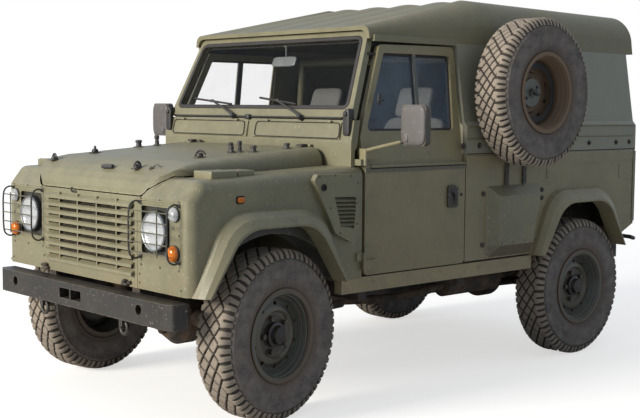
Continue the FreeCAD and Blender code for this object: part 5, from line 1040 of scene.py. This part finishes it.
drips, gutters, top_joints, door_stops = [], [], [], []
stop_section = [(-0.006, -0.016), (0.006, -0.016), (0.006, 0.0175), (-0.006, 0.0175)]
for side in (1, -1):
    fold = [(0, -0.012), (side * 0.012, -0.014), (side * 0.015, 0.006), (side * 0.011, 0.017), (0, 0.02)]
    drips.append(lengthwise(0.535, -0.095, side * 0.7355, 1.808, fold))
    gutters += [lengthwise(-0.085, -1.664, side * 0.8255, 1.366, circle(0.0045)),
                lengthwise(-0.088, -1.664, side * 0.8235, 1.3, circle(0.003))]
    top_joints.append(lengthwise(-0.085, -1.69, side * 0.8226, 1.2185, circle(0.0025, 6)))
    door_stops.append(lengthwise(0.514, -0.085, side * 0.678, 1.788, stop_section, 20))
piece("door_stops", door_stops, rubber_seal, crease=50)
piece("drip_mouldings", drips, olive, crease=50)
piece("gutters", gutters, moulded, crease=50)
piece("top_joints", top_joints, seam_black)

# ---- Side locker and spare wheel
# A steel bin hangs on two straps under the spare wheel. The wheel is held by a round
# clamp plate with a wing bolt.

locker_low, locker_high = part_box("side_locker")
nut = [(0, 0), (0.014, 0), (0.013, 0.008), (0.006, 0.012), (0, 0.012)]
strap_nuts = [turning(nut, (x, SUNK, z), (0, 1, 0), 16)
              for x, z in ((-0.225, 1.0), (-0.745, 0.955), (-0.745, 1.0), (-0.225, 0.72))]
lid_screws = [(x, 0.728) for x in np.linspace(locker_low.x + 0.09, locker_high.x - 0.06, 4)]
piece("locker_trim", strap_nuts + side_bolts(lid_screws, locker_high.y - 0.0006, 0.005, 0.0025, (1,)),
      dark_steel)
clamp_plate = ((-0.6, 0.9105, 1.45), (-0.39, None, 1.65), (0.17, 0.18, 0.16))
# The carrier's struts between the body and the spare wheel are near-black: painted shade.
strut_shade = ((-0.6, None, 1.0), (-0.39, 0.84, 1.5), (0.008, 0.008, 0.007))
dress("spare_carrier", olive_coat("carrier_paint_and_painted_shade", 0.6, 0.3, 0.5, [clamp_plate, strut_shade]))
wing_bolt = [puffed((-0.495, 0.951, 1.55), (0.014, 0.01, 0.014), 0.8, 8, 14)]
for way in (1, -1):
    wing_bolt += [puffed((-0.495 + way * 0.02, 0.953, 1.55 + way * 0.01), (0.016, 0.004, 0.009), 0.6, 8, 14),
                  turning([(0, 0), (0.009, 0), (0.009, 0.007), (0, 0.008)],
                          (-0.495 + way * 0.045, 0.9258, 1.55 - way * 0.03), (0, 1, 0), 6)]
piece("wing_bolt", wing_bolt, dark_steel)

# ---- Rear corners
# Bolted corner angles, a black step on each side, hinge and lock furniture on the rear
# door, and rubber round its window.

angle_section = [(-0.004, -0.006), (0.004, -0.006), (0.006, 0.022), (-0.006, 0.022)]
step_path = [(-1.7, 0.56, 0.6), (-1.752, 0.57, 0.64), (-1.768, 0.62, 0.652), (-1.768, 0.745, 0.652),
             (-1.752, 0.79, 0.648), (-1.7, 0.795, 0.66)]
corners = side_bolts([(-1.66, z) for z in (0.8, 0.9, 1.03, 1.15)], SUNK, 0.005, 0.0025)
for side in (1, -1):
    upright = np.linspace((-1.6955, side * 0.8175, 1.205), (-1.6955, side * 0.8175, 0.765), 14)
    corners += [swept(upright, angle_section, up=(1, 0, 0)),
                puffed((-1.703, side * 0.79, 1.118), (0.006, 0.02, 0.028), 0.4, 8, 16)]
piece("corner_angles", corners, olive, crease=50)
piece("rear_steps", [tube(curve(np.array(step_path) * (1, side, 1), 6), 0.013) for side in (1, -1)],
      plain_black)
window_edge = evened(outline_of("rear_door_glass", BACK)) - (0.0016, 0, 0)
piece("rear_window_rubber", [swept(window_edge, circle(0.01, 8, 0.5), True, AHEAD)], rubber_seal,
      "rear_door")
door_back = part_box("rear_door")[0].x
handle = tube(curve([(door_back + 0.012, 0.345, 1.202), (door_back + 0.002, 0.375, 1.202),
                     (door_back + 0.004, 0.405, 1.19)], 6), 0.008)
hinge_heads = [*product((0.4,), (0.8, 0.95, 1.35, 1.6)), *product((-0.4,), (0.9, 1.45)), (0.0, 0.785)]
piece("rear_door_trim", [handle] + bolts([(-1.7031, y, z) for y, z in hinge_heads], BACK, 0.006, 0.003),
      dark_steel, "rear_door")

# ---- Seats
# Two separate seats in dark cloth: a cushion, a back that leans by 18 degrees and a
# headrest on two steel stems, each stuffed and crowned, with a piped seam.

SEAT_LEAN = math.radians(18.4)
BACK_AXES = ((math.cos(SEAT_LEAN), 0, math.sin(SEAT_LEAN)), (0, 1, 0),
             (-math.sin(SEAT_LEAN), 0, math.cos(SEAT_LEAN)))
CUSHION_AXES = ((0, 0, 1), (0, 1, 0), (1, 0, 0))


def stuffed(middle, half, axes):
    """A stuffed form with a flat seam: the footprint is a rounded rectangle (power 0.3) and the thickness
    across axis 0 swells as (1 - r ** 4) ** 0.5 from the seam to the middle, r being the share of the way out."""
    out, turn = np.linspace(0, 1, 20), np.linspace(0, 2 * np.pi, 48, endpoint=False)
    share, way = np.concatenate([out, out[::-1]])[:, None], np.repeat([1, -1], 20)[:, None]
    reach = np.sin(share * np.pi / 2)
    local = np.stack([way * half[0] * np.sqrt(1 - share ** 4) + 0 * turn,
                      reach * keeping_sign(np.cos(turn), 0.3) * half[1],
                      reach * keeping_sign(np.sin(turn), 0.3) * half[2]], -1)
    return sheet_of(np.asarray(middle, float) + local @ np.asarray(axes, float), closed_v=True)


seat_cloth = weathered("seat_cloth", (0.12, 0.12, 0.116), (0.2, 0.18, 0.16), (0.06, 0.055, 0.05), 0.1, 0.35,
                       0.2, 0.85)
stems, frames = [], []
PADS = (("seat_cushion", (0.17, 0.893), (0.056, 0.233, 0.232), CUSHION_AXES),
        ("seat_back", (-0.112, 1.17), (0.046, 0.232, 0.245), BACK_AXES),
        ("headrest", (-0.168, 1.488), (0.036, 0.128, 0.088), BACK_AXES))
for name, y in (("left", 0.37), ("right", -0.37)):
    for part, (x, z), half, axes in PADS:
        stands_for = ("seats",) if (part, name) == ("seat_cushion", "left") else ()
        pad = piece(f"{part}_{name}", [stuffed((x, y, z), half, axes)], seat_cloth, crease=60,
                    stands_for=stands_for)
    stems += [bar((-0.178, y + stem, 1.375), (-0.166, y + stem, 1.425), 0.007, steps=5)
              for stem in (-0.06, 0.06)]
    frames.append(puffed((0.16, y, 0.842), (0.2, 0.205, 0.0065), 0.2, 8, 24))
piece("headrest_stems", stems, chrome)
piece("seat_frames", frames, plain_black)

# ---- Cab
# A black steering wheel, two dials in turned rings with white marks, three levers with
# round knobs and rubber boots, and three hanging pedals.

dress("steering_wheel", plain_black)
dials, dial_marks = [], []
dial = [(0, 0), (0.052, 0), (0.052, 0.01), (0.046, 0.012), (0.045, 0.006), (0, 0.006)]
mark = [(0.036, 0.0062), (0.041, 0.0062), (0.041, 0.0072), (0.036, 0.0072), (0.036, 0.0062)]
for y in (0.3, 0.44):
    foot, facing = (0.5805, y, 1.145), (-1, 0, 0.15)
    dials.append(turning(dial, foot, facing, 32))
    dial_marks.append(turning(mark, foot, facing, 32))
levers = []
for x, y, top, back in ((0.43, 0.03, 1.06, -0.1), (0.36, -0.04, 0.98, -0.06), (0.25, -0.1, 0.93, 0.03)):
    levers += [tube(curve([(x, y, 0.64), (x, y, 0.8), (x + back, y, top)], 8), 0.0085),
               puffed((x + back, y, top + 0.016), (0.022, 0.022, 0.022), 1.0, 10, 16),
               turning([(0.045, -0.02), (0.04, 0.01), (0.018, 0.05), (0, 0.052)],
                       (x, y, 0.64), (0, 0, 1), 18)]
for y in (0.26, 0.36, 0.46):
    levers += [bar((0.6, y, 0.93), (0.555, y, 0.775), 0.007, steps=6),
               puffed((0.548, y, 0.765), (0.01, 0.03, 0.024), 0.4, 8, 16)]
piece("dials", dials, plain_black)
piece("dial_marks", dial_marks, plain("dial_marks", (0.75, 0.75, 0.72), 0.4))
piece("levers", levers, plain_black)

# ---- Under the car
# Two rusty rods cross in front of the axle, with a rubber-bushed eye at each end: the
# one that steers the wheels and the one that holds the axle sideways.

rods = []
for right, left, radius, sides in (((1.615, -0.43, 0.5), (1.588, 0.385, 0.437), 0.017, 12),
                                   ((1.56, -0.4, 0.47), (1.56, 0.37, 0.412), 0.012, 10)):
    rods += [bar(right, left, radius, sides)] + [puffed(eye, (0.026, 0.02, 0.024), 0.9, 10, 16)
                                                 for eye in (right, left)]
piece("cross_rods", rods, axle_steel)

# ---- Studio
# A pale floor that brightens away from the vehicle, one broad lamp ahead of it, a soft
# one above, a pale sky, and the camera.

FLOOR_HALF = 30
floor_mesh = bpy.data.meshes.new("floor")
floor_corners = [(x * FLOOR_HALF, y * FLOOR_HALF, 0) for x, y in ((-1, -1), (1, -1), (1, 1), (-1, 1))]
floor_mesh.from_pydata(floor_corners, [], [(0, 1, 2, 3)])
floor = bpy.data.objects.new("floor", floor_mesh)
bpy.context.collection.objects.link(floor)
s = new_shader("floor")
rays = s.add("LightPath").outputs
seen = s.calc("MAXIMUM", rays["Is Camera Ray"], rays["Is Transmission Ray"])
glow = s.step(s.vector("LENGTH", s.place), 5.0, 16.0, 0.62, 0.86)
floor_mesh.materials.append(s.surface({"Base Color": (0.6, 0.59, 0.575), "Roughness": 0.9,
                                       "Emission Color": (1.0, 0.99, 0.97),
                                       "Emission Strength": s.times(seen, glow)}))


def soft_lamp(name, place, target, size, watts, colour):
    """A square lamp of that size in metres, facing the target."""
    light = bpy.data.lights.new(name, "AREA")
    light.size, light.energy, light.color = size, watts, colour
    made = bpy.data.objects.new(name, light)
    made.location = place
    made.rotation_euler = (Vector(target) - Vector(place)).to_track_quat("-Z", "Y").to_euler()
    bpy.context.collection.objects.link(made)


soft_lamp("key", (16.2, -2.4, 5.7), (0.6, 0.0, 0.9), 4.8, 3500, (1.0, 0.955, 0.865))
soft_lamp("above", (0.5, 0.5, 6.5), (0.0, 0.0, 1.0), 5.0, 25, (1.0, 1.0, 1.0))

scene = bpy.context.scene
scene.world = bpy.data.worlds.new("studio")
s = Shader(scene.world)
rays = s.add("LightPath").outputs
seen = s.calc("MAXIMUM", rays["Is Camera Ray"], rays["Is Transmission Ray"])
lit = s.calc("MAXIMUM", s.step(seen, 0.0, 1.0, 0.37, 1.0), s.step(rays["Is Glossy Ray"], 0.0, 1.0, 0.0, 0.75))
s.fill(s.tree.nodes["Background"], {"Color": s.mix(seen, (0.82, 0.94, 1.1), (1.0, 1.0, 1.0)),
                                    "Strength": lit})

CAMERA_PLACE = (4.67042, 4.88792, 1.46644)
TURN, RISE, ROLL = (math.radians(degrees) for degrees in (227.466, -4.966, 0.421))
scene.view_settings.view_transform = "Standard"
lens = bpy.data.cameras.new("camera")
lens.sensor_width, lens.lens, lens.shift_x, lens.shift_y = 36.0, 65.47, -0.0079, -0.0022
camera = bpy.data.objects.new("camera", lens)
bpy.context.collection.objects.link(camera)
ahead = Vector((math.cos(RISE) * math.cos(TURN), math.cos(RISE) * math.sin(TURN), math.sin(RISE)))
right = ahead.cross(Vector((0, 0, 1))).normalized()
up = right.cross(ahead)
right, up = math.cos(ROLL) * right + math.sin(ROLL) * up, math.cos(ROLL) * up - math.sin(ROLL) * right
camera.matrix_world = Matrix.Translation(CAMERA_PLACE) @ Matrix((right, up, -ahead)).transposed().to_4x4()
scene.camera = camera
